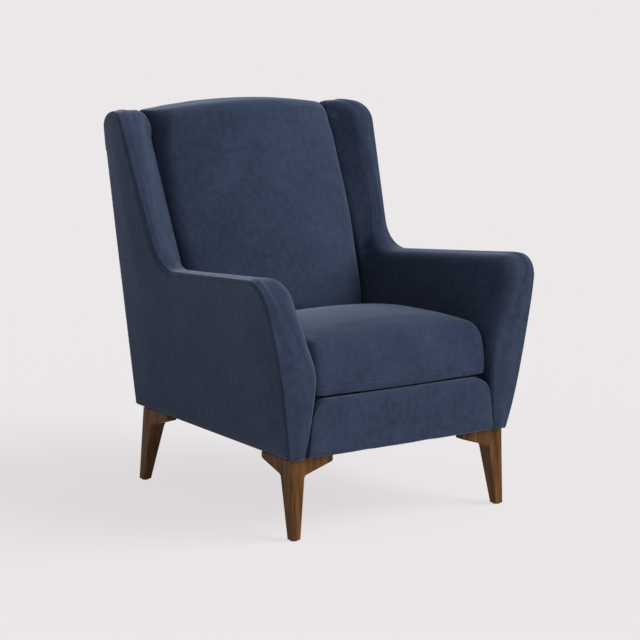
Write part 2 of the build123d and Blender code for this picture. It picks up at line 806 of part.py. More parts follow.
def leg_places():
    """Name, outer corner, inward directions and rake of each leg."""
    front_y = BASE_FRONT
    back_y_edge = back_y(BASE_HEIGHT, BACK_LEG_INSET)
    front_x = side_x(front_y, BASE_HEIGHT) - LEG_INSET
    back_x = side_x(back_y_edge, BASE_HEIGHT) - LEG_INSET
    places = []
    for name, side in (("left", -1), ("right", 1)):
        places.append((f"front_{name}_leg", side * front_x, front_y, -side, 1, LEG_FRONT_RAKE))
        places.append((f"back_{name}_leg", side * back_x, back_y_edge, -side, -1, LEG_BACK_RAKE))
    return places


def placed(part, x, y, way_x, way_y):
    """Part with its corner moved to x, y and its arms turned inwards."""
    if way_x < 0 and way_y < 0:
        part = Rot(0, 0, 180) * part
    elif way_x < 0:
        part = mirror(part, about=Plane.YZ)
    elif way_y < 0:
        part = mirror(part, about=Plane.XZ)
    return Pos(x, y, 0) * part


def screw_spots():
    """Places of the leg screws in a leg's own frame."""
    spots = []
    for reach in SCREW_PLACES:
        spots.append((reach, SCREW_LINE))
        spots.append((SCREW_LINE, reach))
    return spots


def at_screws(part):
    """Copies of a part at every leg screw."""
    copies = []
    for name, x, y, way_x, way_y, rake in leg_places():
        for u, v in screw_spots():
            copies.append(Pos(x + way_x * u, y + way_y * v, 0) * part)
    return copies


def screw():
    """Leg screw with its head in the leg's bracket arm."""
    seat = LEG_HEIGHT - SCREW_BITE
    shank = Pos(0, 0, seat) * Cylinder(SCREW / 2, SCREW_LENGTH, align=ON_FLOOR)
    head = Pos(0, 0, seat - SCREW_HEAD_THICK) * Cylinder(SCREW_HEAD / 2, SCREW_HEAD_THICK, align=ON_FLOOR)
    return shank + head


def screw_holes():
    """Holes for the shanks of all leg screws."""
    seat = LEG_HEIGHT - SCREW_BITE
    hole = Pos(0, 0, seat) * Cylinder(SCREW / 2 + FIT / 2, SCREW_LENGTH + FIT, align=ON_FLOOR)
    return Part(children=at_screws(hole))


def drilled_leg(rake):
    """Leg with its screw holes and the sunk seats of the screw heads."""
    part = leg(rake)
    seat = LEG_HEIGHT - SCREW_BITE
    for u, v in screw_spots():
        hole = Cylinder(SCREW / 2 + FIT / 2, HEIGHT, align=ON_FLOOR)
        sink = Cylinder(SCREW_HEAD / 2 + FIT, seat, align=ON_FLOOR)
        part = part - Pos(u, v, 0) * hole - Pos(u, v, 0) * sink
    return part


def glide(rake):
    """Round glide under a leg's foot, in the leg's own frame."""
    middle = LEG_FOOT / 2
    disc = Cylinder(GLIDE_DIAMETER / 2, GLIDE, align=ON_FLOOR)
    return Pos(middle - rake[0], middle - rake[1], 0) * disc


def dust_cover():
    """Cloth under the seat frame, pierced by the leg screws."""
    front = BASE_FRONT
    rear = back_y(BASE_HEIGHT, DUST_INSET)
    front_half = side_x(front, BASE_HEIGHT) - DUST_INSET
    rear_half = side_x(rear, BASE_HEIGHT) - DUST_INSET
    outline = polygon(
        (-front_half, front),
        (front_half, front),
        (rear_half, rear),
        (-rear_half, rear),
    )
    sheet = Pos(0, 0, LEG_HEIGHT) * extrude(outline, DUST_COVER)
    return sheet - screw_holes()


ON_FLOOR = (Align.CENTER, Align.CENTER, Align.MIN)
BACK_RAIL_FRONT = back_y(BASE_HEIGHT, BACK_LEG_INSET) - RAIL
SPRING_START = BASE_FRONT + RAIL_FRONT + RAIL / 2
SPRING_END = SPRING_RAIL_FRONT + SPRING_RAIL / 2
DECK_LIFT = WIRE / 2 + CLIP_WALL + CLIP_LIP * tan(radians(SEAT_PITCH)) + 2 * FIT
APRON_TOP = RAIL_TOP + CLIP_WALL + WIRE + DECK


def build():
    """All pieces of the chair by node name."""
    nodes = {
        "front_seat_rail": front_rail(),
        "back_seat_rail": back_rail(),
        "rear_spring_rail": spring_rail(),
        "back_top_rail": top_rail(),
        "corner_blocks": corner_blocks(),
        "spring_clips": spring_clips(),
        "seat_deck_pad": deck_pad(),
        "back_pad": back_pad(),
        "outside_back_panel": outside_back(),
        "front_apron_pad": apron_pad(),
        "dust_cover": dust_cover(),
        "seat_cushion_cover": cushion_cover(),
        "seat_cushion_core": cushion_core(),
        "cushion_zip_tape": zip_tape(),
        "cushion_zip_slider": zip_slider(),
        "leg_screws": Compound(children=at_screws(screw())),
    }
    sides = {
        "arm_pad": arm_pad(),
        "outside_panel": outside_panel(),
        "front_post": front_post(),
        "back_post": back_post(),
        "wing_post": wing_post(),
        "arm_rail": arm_rail(),
        "seat_rail": seat_rail(),
    }
    for name, part in sides.items():
        nodes["right_" + name] = part
        nodes["left_" + name] = to_left(part)
    for count, x in enumerate(spring_places(), 1):
        nodes[f"seat_spring_{count}"] = seat_spring(x)
    for count, height in enumerate(strap_heights(), 1):
        nodes[f"back_strap_{count}"] = back_strap(height)
    glides = []
    for name, x, y, way_x, way_y, rake in leg_places():
        nodes[name] = placed(drilled_leg(rake), x, y, way_x, way_y)
        glides.append(placed(glide(rake), x, y, way_x, way_y))
    nodes["foot_glides"] = Compound(children=glides)
    return nodes


os.makedirs("parts", exist_ok=True)
for node, shape in build().items():
    export_step(shape, f"parts/{node}.step")
    print(node, round(shape.volume / 1000), "cm3")
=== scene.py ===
# %% [markdown]
# # A velvet accent armchair
# Two sides, each one unbroken wing and arm, hold a crowned back pad and a loose seat cushion above
# four walnut bracket legs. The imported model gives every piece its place. This script dresses it: the
# velvet pieces are modelled again as soft forms with their seams, and the timber, springs and legs
# keep their solids and get a finish.

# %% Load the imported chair
import json
from math import asin, atan, cos, exp, pi, radians, sin, sqrt, tan

import bmesh
import bpy
import numpy as np
from mathutils import Matrix, Vector

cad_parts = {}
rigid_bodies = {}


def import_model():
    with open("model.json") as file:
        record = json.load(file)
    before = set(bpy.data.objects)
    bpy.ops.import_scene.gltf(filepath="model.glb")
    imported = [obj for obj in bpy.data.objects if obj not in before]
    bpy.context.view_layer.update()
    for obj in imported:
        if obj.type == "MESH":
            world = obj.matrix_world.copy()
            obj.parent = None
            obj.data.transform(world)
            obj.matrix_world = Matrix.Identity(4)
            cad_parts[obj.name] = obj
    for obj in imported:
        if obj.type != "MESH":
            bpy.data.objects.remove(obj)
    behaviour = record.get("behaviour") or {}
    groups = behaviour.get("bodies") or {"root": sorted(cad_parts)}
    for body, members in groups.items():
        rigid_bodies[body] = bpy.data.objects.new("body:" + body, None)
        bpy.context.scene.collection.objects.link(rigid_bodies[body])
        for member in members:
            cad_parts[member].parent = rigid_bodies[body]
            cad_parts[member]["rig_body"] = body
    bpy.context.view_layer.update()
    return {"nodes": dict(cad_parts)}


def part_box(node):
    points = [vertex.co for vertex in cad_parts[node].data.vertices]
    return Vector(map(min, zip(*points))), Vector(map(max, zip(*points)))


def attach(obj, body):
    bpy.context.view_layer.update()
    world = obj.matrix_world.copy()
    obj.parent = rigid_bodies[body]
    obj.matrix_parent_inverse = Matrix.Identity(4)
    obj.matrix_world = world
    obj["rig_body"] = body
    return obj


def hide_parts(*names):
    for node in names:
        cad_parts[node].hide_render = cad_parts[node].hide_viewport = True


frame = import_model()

nodes = frame["nodes"]

# %% [markdown]
# ## Camera
# The photograph was taken from the chair's left front with a long lens, from a little above its back.
# A long lens far away keeps upright lines almost parallel, so the camera stands five metres off.

# %% Camera
CAMERA_PLACE = (-2.8532, -4.2122, 1.3102)
CAMERA_LENS = 122.06
CAMERA_SENSOR = 36.0
CAMERA_TILT = 80.02
CAMERA_TURN = -34.33
CAMERA_REACH = 1000.0

scene = bpy.context.scene
scene.view_settings.view_transform = "Standard"
lens = bpy.data.cameras.new("photo_camera")
lens.lens = CAMERA_LENS
lens.sensor_width = CAMERA_SENSOR
lens.clip_end = CAMERA_REACH
camera = bpy.data.objects.new("photo_camera", lens)
camera.location = CAMERA_PLACE
camera.rotation_euler = (radians(CAMERA_TILT), 0.0, radians(CAMERA_TURN))
scene.collection.objects.link(camera)
scene.camera = camera
print("camera at", [round(place, 2) for place in camera.location])

# %% [markdown]
# ## Studio
# The light in the photograph is soft: one wide lamp on the right, in front of and above the chair, and a
# bright room all round that fills the shadows. A sun lamp with a wide angle does the first, and an
# even world does the second, so the floor is lit alike everywhere and only the chair darkens it.

# %% Room light
PALE = (0.831, 0.799, 0.807, 1.0)
WHITE = (1.0, 1.0, 1.0, 1.0)
ROOM_LIGHT = 0.30


def add(tree, kind, inputs=(), **settings):
    """Adds a shader node, sets its properties, and fills or links its input sockets."""
    made = tree.nodes.new(kind)
    for name, value in settings.items():
        setattr(made, name, value)
    for socket, value in dict(inputs).items():
        if isinstance(value, bpy.types.NodeSocket):
            tree.links.new(value, made.inputs[socket])
        else:
            made.inputs[socket].default_value = value
    return made


def seen_directly(tree):
    """Gives 1 for a ray that shows the background itself: straight, mirrored or through glass."""
    rays = add(tree, "ShaderNodeLightPath").outputs
    seen = rays["Is Camera Ray"]
    for other in ("Is Glossy Ray", "Is Transmission Ray"):
        seen = add(tree, "ShaderNodeMath", {0: seen, 1: rays[other]}, operation="MAXIMUM").outputs[0]
    return seen


def lit_and_seen(tree, lit, seen):
    """Mixes the shader that lights the chair with the one that the background itself shows."""
    inputs = {0: seen_directly(tree), 1: lit.outputs[0], 2: seen.outputs[0]}
    return add(tree, "ShaderNodeMixShader", inputs).outputs[0]


def light_world():
    """Lights the room evenly and shows the backdrop's colour behind the floor's edge."""
    world = bpy.data.worlds.new("studio")
    scene.world = world
    world.use_nodes = True
    tree = world.node_tree
    tree.nodes.clear()
    room = add(tree, "ShaderNodeBackground", {"Color": WHITE, "Strength": ROOM_LIGHT})
    backdrop = add(tree, "ShaderNodeBackground", {"Color": PALE, "Strength": 1.0})
    add(tree, "ShaderNodeOutputWorld", {0: lit_and_seen(tree, room, backdrop)})


light_world()
print("room light", ROOM_LIGHT)

# %% Key lamp
KEY_FROM = (0.72, -0.60, 0.62)
KEY_POWER = 2.7
KEY_SPREAD = 50.0

key = bpy.data.lights.new("key", "SUN")
key.energy = KEY_POWER
key.angle = radians(KEY_SPREAD)
lamp = bpy.data.objects.new("key", key)
lamp.rotation_euler = Vector(KEY_FROM).to_track_quat("Z", "Y").to_euler()
scene.collection.objects.link(lamp)
print("key lamp", KEY_POWER, "from", KEY_FROM)

# %% Floor
FLOOR_HALF = 150.0
FLOOR_WHITE = (0.78, 0.75, 0.755, 1.0)
FLOOR_SHADE = (0.210, 0.203, 0.205, 1.0)
FLOOR_GLOW = 0.814


def lay_floor():
    """Lays the pale floor: white to the chair, and to the camera a glow that the chair shades a little."""
    bm = bmesh.new()
    bmesh.ops.create_grid(bm, x_segments=1, y_segments=1, size=FLOOR_HALF)
    mesh = bpy.data.meshes.new("floor")
    bm.to_mesh(mesh)
    bm.free()
    floor = bpy.data.objects.new("floor", mesh)
    scene.collection.objects.link(floor)
    finish = bpy.data.materials.new("pale_floor")
    finish.use_nodes = True
    tree = finish.node_tree
    tree.nodes.clear()
    white = add(tree, "ShaderNodeBsdfDiffuse", {"Color": FLOOR_WHITE})
    shade = add(tree, "ShaderNodeBsdfDiffuse", {"Color": FLOOR_SHADE})
    glow = add(tree, "ShaderNodeEmission", {"Color": PALE, "Strength": FLOOR_GLOW})
    both = add(tree, "ShaderNodeAddShader", {0: shade.outputs[0], 1: glow.outputs[0]})
    add(tree, "ShaderNodeOutputMaterial", {"Surface": lit_and_seen(tree, white, both)})
    mesh.materials.append(finish)


lay_floor()
print("floor of", 2 * FLOOR_HALF, "m")

# %% [markdown]
# ## Velvet
# Velvet is a short dense pile. It looks dark when seen along the fibres and pale at grazing angles,
# which a sheen lobe gives. Hands leave patches where the pile leans another way, so one noise is broad,
# one makes mottles of about a centimetre, and one is as fine as the nap.

# %% Helpers for a finish
EVENLY = (1.0, 1.0, 1.0)
NOISE_GAIN = 0.55


def new_material(name, **sockets):
    """Makes a node material and returns it with its tree and its main shader."""
    material = bpy.data.materials.new(name)
    material.use_nodes = True
    shader = material.node_tree.nodes["Principled BSDF"]
    for socket, value in sockets.items():
        shader.inputs[socket.replace("_", " ")].default_value = value
    return material, material.node_tree, shader


def object_place(tree, stretch=EVENLY):
    """Gives the place on the piece in metres, drawn out along the axes."""
    place = add(tree, "ShaderNodeTexCoord").outputs["Object"]
    return add(tree, "ShaderNodeMapping", {"Vector": place, "Scale": stretch}).outputs[0]


def noise(tree, waves, detail=2.0, stretch=EVENLY):
    """Gives a noise of about so many waves to the metre."""
    place = object_place(tree, stretch)
    inputs = {"Vector": place, "Scale": waves, "Detail": detail, "Roughness": NOISE_GAIN}
    return add(tree, "ShaderNodeTexNoise", inputs).outputs[0]


def weighed(tree, *parts):
    """Adds up noises, each with its weight."""
    total = None
    for part, weight in parts:
        inputs = {0: part, 1: weight, 2: 0.0 if total is None else total}
        total = add(tree, "ShaderNodeMath", inputs, operation="MULTIPLY_ADD").outputs[0]
    return total


def ramp(tree, value, *stops):
    """Turns a value into a colour through stops of place and colour."""
    made = add(tree, "ShaderNodeValToRGB", {0: value})
    elements = made.color_ramp.elements
    while len(elements) < len(stops):
        elements.new(0.5)
    for element, (place, colour) in zip(elements, stops):
        element.position = place
        element.color = colour
    return made.outputs[0]


def spread(tree, value, low, high):
    """Maps a value from 0..1 to a range."""
    return add(tree, "ShaderNodeMapRange", {"Value": value, "To Min": low, "To Max": high}).outputs[0]


def dress(tree, shader, colour, layers, roughness=None):
    """Links the colour, a roughness that varies, and layers of height and depth, the first one lowest."""
    tree.links.new(colour, shader.inputs["Base Color"])
    if roughness is not None:
        tree.links.new(roughness, shader.inputs["Roughness"])
    normal = None
    for height, depth in layers:
        inputs = {"Height": height, "Distance": depth, "Strength": 1.0}
        if normal is not None:
            inputs["Normal"] = normal
        normal = add(tree, "ShaderNodeBump", inputs).outputs[0]
    tree.links.new(normal, shader.inputs["Normal"])


print("finishes follow the place on a piece, with a noise gain of", NOISE_GAIN)

# %% Velvet
VELVET_DARK = (0.025, 0.037, 0.069, 1.0)
VELVET_LIGHT = (0.044, 0.061, 0.110, 1.0)
VELVET_SHEEN = (0.54, 0.65, 0.86, 1.0)
PATCH_WAVES = 11.0
MOTTLE_WAVES = 75.0
MOTTLE_STRETCH = (1.0, 1.0, 0.75)
MOTTLE_DEPTH = 0.0007
NAP_WAVES = 900.0
NAP_DEPTH = 0.0004
NAP_ROUGHNESS = (0.82, 0.98)


def make_velvet():
    """Slate blue velvet with brushed patches and a fine nap."""
    material, tree, shader = new_material("slate_velvet", Specular_IOR_Level=0.10, Sheen_Weight=0.70,
                                          Sheen_Roughness=0.34, Sheen_Tint=VELVET_SHEEN)
    patches = noise(tree, PATCH_WAVES)
    mottles = noise(tree, MOTTLE_WAVES, detail=3.0, stretch=MOTTLE_STRETCH)
    nap = noise(tree, NAP_WAVES)
    shade = weighed(tree, (patches, 0.30), (mottles, 0.45), (nap, 0.25))
    colour = ramp(tree, shade, (0.34, VELVET_DARK), (0.66, VELVET_LIGHT))
    layers = [(mottles, MOTTLE_DEPTH), (nap, NAP_DEPTH)]
    dress(tree, shader, colour, layers, spread(tree, nap, *NAP_ROUGHNESS))
    return material


velvet = make_velvet()
print("made", velvet.name)

# %% [markdown]
# ## Walnut
# The legs are stained walnut with a thin satin lacquer. Grain is noise drawn out along the wood: a
# coarse one for the figure and a fine one for the open pores, which also roughen the lacquer.

# %% Walnut
WALNUT_DARK = (0.034, 0.013, 0.004, 1.0)
WALNUT_MID = (0.118, 0.050, 0.013, 1.0)
WALNUT_LIGHT = (0.205, 0.090, 0.025, 1.0)
FIGURE_WAVES = 70.0
FIGURE_STRETCH = (1.0, 1.0, 0.09)
PORE_WAVES = 420.0
PORE_STRETCH = (1.0, 1.0, 0.06)
PORE_DEPTH = 0.0003
LACQUER_ROUGHNESS = (0.36, 0.56)


def make_walnut():
    """Dark walnut with upright figure, pores and a satin lacquer."""
    material, tree, shader = new_material("stained_walnut", Specular_IOR_Level=0.14)
    figure = noise(tree, FIGURE_WAVES, detail=5.0, stretch=FIGURE_STRETCH)
    pores = noise(tree, PORE_WAVES, stretch=PORE_STRETCH)
    shade = weighed(tree, (figure, 0.8), (pores, 0.2))
    colour = ramp(tree, shade, (0.32, WALNUT_DARK), (0.5, WALNUT_MID), (0.68, WALNUT_LIGHT))
    dress(tree, shader, colour, [(pores, PORE_DEPTH)], spread(tree, pores, *LACQUER_ROUGHNESS))
    return material


walnut = make_walnut()
for name in ("front_left_leg", "back_left_leg", "front_right_leg", "back_right_leg"):
    nodes[name].data.materials[0] = walnut
print("made", walnut.name)

# %% [markdown]
# ## Shape of a side
# Seen from the side, the chair's wing and arm are one outline: a bowed arm front, an arm top that
# falls to the back, a concave turn into the raked wing, a round wing head and an almost upright back.
# Seen from the front it leans outwards. So the outline is drawn flat, in depth and height, and a
# formula gives how far out each of its points lies. More formulas place the inside of arm and wing.

# %% Lines of a side
panel_low, panel_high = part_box("right_outside_panel")
BASE = panel_low.z
WING_TOP = panel_high.z
FRONT = -0.382
BACK = 0.382
BASE_FRONT = -0.353
BASE_HALF_FRONT = 0.300
BASE_HALF_BACK = 0.284
FLARE_FRONT = tan(radians(11.7))
FLARE_BACK = tan(radians(5.2))
BOW_RADIUS = 1.400
BOW_HEIGHT = 0.414
BOW_END = 0.505
ARM_FRONT_HEIGHT = 0.590
ARM_BACK_HEIGHT = 0.546
WING_FOOT = 0.239
WING_HEAD = 0.110
WING_BACK_RADIUS = 0.020
SIDE_HOLLOW = 0.004
SIDE_HOLLOW_START = 0.310
HEAD_ROLL = 0.018
HEAD_ROLL_RISE = 0.045
BACK_LEAN = tan(radians(2.4))
RAKE = (WING_FOOT - WING_HEAD + BACK_LEAN * WING_BACK_RADIUS) / (WING_TOP - ARM_BACK_HEIGHT)


def side_x(y, z):
    """Half width at a depth and a height: hollow below the arm's front, rolled in at the wing's head."""
    share = min((z - SIDE_HOLLOW_START) / (ARM_FRONT_HEIGHT - SIDE_HOLLOW_START), 1.0)
    head = min(max((z - WING_TOP) / HEAD_ROLL_RISE + 1.0, 0.0), 1.0)
    front = BASE_HALF_FRONT + FLARE_FRONT * (z - BASE) - SIDE_HOLLOW * sin(pi * share)
    back = BASE_HALF_BACK + FLARE_BACK * (z - BASE)
    rolled = HEAD_ROLL * (1.0 - sqrt(1.0 - head ** 2))
    return front + (back - front) * (y - BASE_FRONT) / (BACK - BASE_FRONT) - rolled


def wing_y(z):
    """Depth of the wing's front edge at a height."""
    return BACK - WING_FOOT + RAKE * (z - ARM_BACK_HEIGHT)


def back_y(z):
    """Depth of the outside back at a height."""
    return BACK + BACK_LEAN * (z - WING_TOP + WING_BACK_RADIUS)


def bow_y(z):
    """Depth of the bowed arm front at a height."""
    return FRONT + BOW_RADIUS - sqrt(BOW_RADIUS ** 2 - (z - BOW_HEIGHT) ** 2)


print("a side is", round(2 * side_x(FRONT, ARM_FRONT_HEIGHT), 3), "m wide at the arm fronts")

# %% Outline of a side
ARM_FRONT_ROUND = 0.060
ARM_BACK_ROUND = 0.090
WING_FRONT_ROUND = 0.070
WING_HEAD_ROUND = 0.040
BASE_ROUND = 0.006
OUTLINE_STEP = 0.008
ROUND_STEPS = 8
BOW_STEPS = 12


def round_corner(bm, corner, radius):
    """Rounds the corner of a flat face that lies nearest to a point."""
    vert = min(bm.verts, key=lambda v: (v.co - corner).length)
    ways = [edge.other_vert(vert).co - vert.co for edge in vert.link_edges]
    reach = radius / tan(ways[0].angle(ways[1]) / 2)
    bmesh.ops.bevel(bm, geom=[vert], offset=reach, offset_type="OFFSET", segments=ROUND_STEPS, profile=0.5,
                    affect="VERTICES", material=-1)


def rounded_outline(bm, corners):
    """Rounds a flat face's corners, divides its edges evenly and returns its points in the YZ plane."""
    for corner, radius in corners:
        round_corner(bm, corner, radius)
    for edge in list(bm.edges):
        cuts = int(edge.calc_length() / OUTLINE_STEP)
        if cuts:
            bmesh.ops.subdivide_edges(bm, edges=[edge], cuts=cuts)
    bm.faces.ensure_lookup_table()
    face = bm.faces[0]
    if face.normal.x > 0.0:
        face.normal_flip()
    points = [vert.co.yz for vert in face.verts]
    bm.free()
    return points


def starting_at(points, start):
    """Turns a closed outline round to begin at its point nearest to a place."""
    first = min(range(len(points)), key=lambda i: (points[i] - start).length)
    return points[first:] + points[:first]


def side_outline():
    """Draws a side's outline from the arm's foot up the bow, over arm and wing, and down the back."""
    bm = bmesh.new()
    foot = bm.verts.new((0.0, bow_y(BASE), BASE))
    turn = asin((BOW_HEIGHT - BASE) / BOW_RADIUS) + asin((BOW_END - BOW_HEIGHT) / BOW_RADIUS)
    bmesh.ops.spin(bm, geom=[foot], cent=(0.0, FRONT + BOW_RADIUS, BOW_HEIGHT), axis=(-1.0, 0.0, 0.0),
                   angle=turn, steps=BOW_STEPS)
    bow = sorted(bm.verts, key=lambda v: v.co.z)
    corners = [(Vector((0.0, bow_y(ARM_FRONT_HEIGHT), ARM_FRONT_HEIGHT)), ARM_FRONT_ROUND),
               (Vector((0.0, wing_y(ARM_BACK_HEIGHT), ARM_BACK_HEIGHT)), ARM_BACK_ROUND),
               (Vector((0.0, wing_y(WING_TOP), WING_TOP)), WING_FRONT_ROUND),
               (Vector((0.0, back_y(WING_TOP), WING_TOP)), WING_HEAD_ROUND),
               (Vector((0.0, back_y(BASE), BASE)), BASE_ROUND)]
    rest = [bm.verts.new(corner) for corner, radius in corners]
    bm.faces.new(bow + rest)
    bm.normal_update()
    return starting_at(rounded_outline(bm, corners), Vector((bow_y(BASE), BASE)))


outline = side_outline()
print("outline of a side:", len(outline), "points, then", [round(place, 3) for place in outline[1]])

# %% [markdown]
# ## Path of the band
# One long band runs from the arm's foot, over the arm, up the wing and over its head, and ends under the
# outside back. It turns round the edge onto the side, so its outer seam lies a few millimetres down the
# side face, further at the wing's foot. A table gives such a value along the path, in metres from its
# start.

# %% Path of the band
SETBACKS = ((0.0, 0.005), (0.06, 0.003), (0.30, 0.003), (0.38, 0.007), (0.46, 0.006), (0.80, 0.007),
            (0.90, 0.013), (1.0, 0.014), (1.10, 0.009), (1.20, 0.005), (1.38, 0.004), (1.41, 0.0005))
BACK_TURN = 0.800


def band_path():
    """The part of the outline that the band follows, with the distance along it."""
    top = max(range(len(outline)), key=lambda i: outline[i].x)
    points = [point for i, point in enumerate(outline) if i <= top or (point.x > 0.0 and point.y > BACK_TURN)]
    distances = [0.0]
    for before, after in zip(points, points[1:]):
        distances.append(distances[-1] + (after - before).length)
    return points, distances


def along_path(table, distance):
    """Value of a table at a distance along the path."""
    return float(np.interp(distance, *zip(*table)))


path, distances = band_path()
print("the band is", round(distances[-1], 3), "m long")

# %% [markdown]
# ## Rows of cloth
# A covered edge is easiest to build as rows: the first row lies on the seam, and each next row is an
# extrusion of the last one, moved to where the cloth turns. Where a seam pulls the cloth down it
# leaves a thin groove with a soft ridge on either side. The wide middle of a panel is one flat face,
# cut into squares, which then bend with the formulas.

# %% Seams
MM = 1000.0
SEAM_DEPTH = 0.0014
SEAM_WIDTH = 0.0012
RIDGE_SHARE = 0.3
RIDGE_PLACE = 0.0036
RIDGE_WIDTH = 0.0022


def seam_height(distance, deep):
    """Height of the cloth near a seam: a groove on it and a ridge beside it."""
    groove = exp(-(distance / SEAM_WIDTH) ** 2)
    ridge = RIDGE_SHARE * exp(-((abs(distance) - RIDGE_PLACE) / RIDGE_WIDTH) ** 2)
    return deep * (ridge - groove)


print("the band's seam is", MM * SEAM_DEPTH, "mm deep")


# %% Rows of cloth
def across(points, closed):
    """Directions that point into an outline which runs up, over and down."""
    ways = []
    for i, point in enumerate(points):
        before = points[i - 1] if closed or i > 0 else point
        after = points[(i + 1) % len(points)] if closed or i + 1 < len(points) else point
        along = (after - before).normalized()
        ways.append(Vector((along.y, -along.x)))
    return ways


def first_row(bm, places, closed):
    """Starts a row of vertices joined by edges."""
    row = [bm.verts.new(place) for place in places]
    for pair in zip(row, row[1:] + row[:1] if closed else row[1:]):
        bm.edges.new(pair)
    return row


def next_row(bm, row, places):
    """Extrudes a row and moves its copy, vertex for vertex."""
    joints = (bm.edges.get(pair) for pair in zip(row, row[1:] + row[:1]))
    made = bmesh.ops.extrude_edge_only(bm, edges=[edge for edge in joints if edge])["geom"]
    fresh = {part for part in made if isinstance(part, bmesh.types.BMVert)}
    ends = [[edge.other_vert(vert) for edge in vert.link_edges] for vert in row]
    copies = [next(end for end in reached if end in fresh) for reached in ends]
    for copy, place in zip(copies, places):
        copy.co = place
    return copies


print("at the arm's foot, inwards is", [round(part, 2) for part in across(outline, True)[0]])

# %% Squares of cloth
SQUARE = 0.016
FINE_SQUARE = 0.008
NEAR = 1e-6


def cut_squares(bm, face, square):
    """Cuts a flat face into squares along Y and Z and returns all their vertices."""
    parts = [face]
    for axis in (1, 2):
        reach = [vert.co[axis] for part in parts for vert in part.verts]
        normal = Vector((0.0, 0.0, 0.0))
        normal[axis] = 1.0
        for cut in range(1, int((max(reach) - min(reach)) / square) + 1):
            geometry = set(parts)
            for part in parts:
                geometry.update(part.edges)
                geometry.update(part.verts)
            made = bmesh.ops.bisect_plane(bm, geom=list(geometry), dist=NEAR, plane_no=normal,
                                          plane_co=normal * (min(reach) + cut * square))
            parts = [part for part in made["geom"] if isinstance(part, bmesh.types.BMFace)]
    return {vert for part in parts for vert in part.verts}


def face_outwards(bm, way):
    """Turns all faces the same way round, on the whole towards a direction."""
    bmesh.ops.recalc_face_normals(bm, faces=bm.faces)
    if sum(face.normal.dot(way) * face.calc_area() for face in bm.faces) < 0.0:
        bmesh.ops.reverse_faces(bm, faces=bm.faces)


def to_left(bm):
    """Mirrors a right-hand mesh to the left."""
    bmesh.ops.scale(bm, vec=(-1.0, 1.0, 1.0), verts=bm.verts)
    bmesh.ops.reverse_faces(bm, faces=bm.faces)


print("panels have squares of", MM * SQUARE, "mm, inside covers of", MM * FINE_SQUARE)

# %% Covers
CLOTH = 0.0025


def new_piece(name, bm, material, body):
    """Makes a bmesh a smooth piece that rides on a body."""
    mesh = bpy.data.meshes.new(name)
    bm.to_mesh(mesh)
    bm.free()
    mesh.shade_smooth()
    mesh.materials.append(material)
    piece = bpy.data.objects.new(name, mesh)
    scene.collection.objects.link(piece)
    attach(piece, body)
    return piece


def give_thickness(piece, thickness):
    """Gives a sheet its thickness on the inner side."""
    skin = piece.modifiers.new("cloth_thickness", "SOLIDIFY")
    skin.thickness = thickness
    skin.offset = -1.0


def cover(name, bm, node):
    """Makes a bmesh a velvet cover in place of a node."""
    piece = new_piece(name, bm, velvet, "chair")
    give_thickness(piece, CLOTH)
    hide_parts(node)
    print(piece.name, len(piece.data.polygons), "faces")


def cover_sides(build, name, node):
    """Covers the right side, and the left one with the mirror image."""
    for side in ("left", "right"):
        bm = build()
        if side == "left":
            to_left(bm)
        cover(side + name, bm, side + node)


print("velvet covers are", MM * CLOTH, "mm thick")

# %% [markdown]
# ## Outside panels
# Each outside panel is a board with velvet over it, sewn to the band along arm and wing, and turned in
# along its foot and its back. Its edge rolls out of the seam, and the wadding under the cloth makes the
# middle swell by a few millimetres. The outside back is made the same way, between the two sides.

# %% Edge of a side panel
SEWN_FADE = 0.03


def panel_edge():
    """Edge of an outside panel, drawn in to the band's seam, and how far each of its points is sewn to it."""
    points, sewn = [], []
    for point, way in zip(outline, across(outline, True)):
        near = min(range(len(path)), key=lambda k: (path[k] - point).length)
        share = max(1.0 - (path[near] - point).length / SEWN_FADE, 0.0)
        share *= min((distances[-1] - distances[near]) / SEWN_FADE, 1.0)
        points.append(point + way * along_path(SETBACKS, distances[near]) * share)
        sewn.append(share)
    return points, sewn


side_edge, side_sewn = panel_edge()
print(sum(share > 0.0 for share in side_sewn), "of", len(side_edge), "points are sewn to the band")

# %% Side panels
PANEL_ROWS = (0.0, 0.0010, 0.0020, 0.0034, 0.0050)
TURNED_EDGE = (-0.0080, -0.0036, -0.0018, -0.0006, 0.0)
PANEL_SWELL = 0.006
PANEL_SWELL_REACH = 0.14


def swell(point, edge_points):
    """Swelling of a padded panel, growing from nothing at its edge."""
    share = min(1.0, min((point - edge).length for edge in edge_points) / PANEL_SWELL_REACH)
    return PANEL_SWELL * sin(share * pi / 2)


def upholstered_panel(edge_points, sewn, place):
    """Builds a padded panel flat, edge rows first, and bends it with a formula."""
    bm = bmesh.new()
    ways = across(edge_points, True)
    row = None
    for inset, turned in zip(PANEL_ROWS, TURNED_EDGE):
        seam = seam_height(inset, SEAM_DEPTH)
        places = [Vector((turned + (seam - turned) * share, *(point + way * inset)))
                  for point, way, share in zip(edge_points, ways, sewn)]
        row = next_row(bm, row, places) if row else first_row(bm, places, True)
    for vert in cut_squares(bm, bm.faces.new(row), SQUARE):
        vert.co.x += swell(vert.co.yz, edge_points[::2])
    for vert in bm.verts:
        vert.co = place(*vert.co)
    return bm


def on_side(height, y, z):
    """Place on the right side, a height out from it."""
    return Vector((side_x(y, z) + height, y, z))


def side_panel():
    """Builds the right-hand outside panel."""
    bm = upholstered_panel(side_edge, side_sewn, on_side)
    face_outwards(bm, Vector((1.0, 0.0, 0.0)))
    return bm


cover_sides(side_panel, "_outside_velvet", "_outside_panel")

# %% Outside back
BACK_PANEL_GAP = 0.002
BACK_PANEL_PROUD = 0.0015
BACK_PANEL_HEAD_ROUND = 0.012


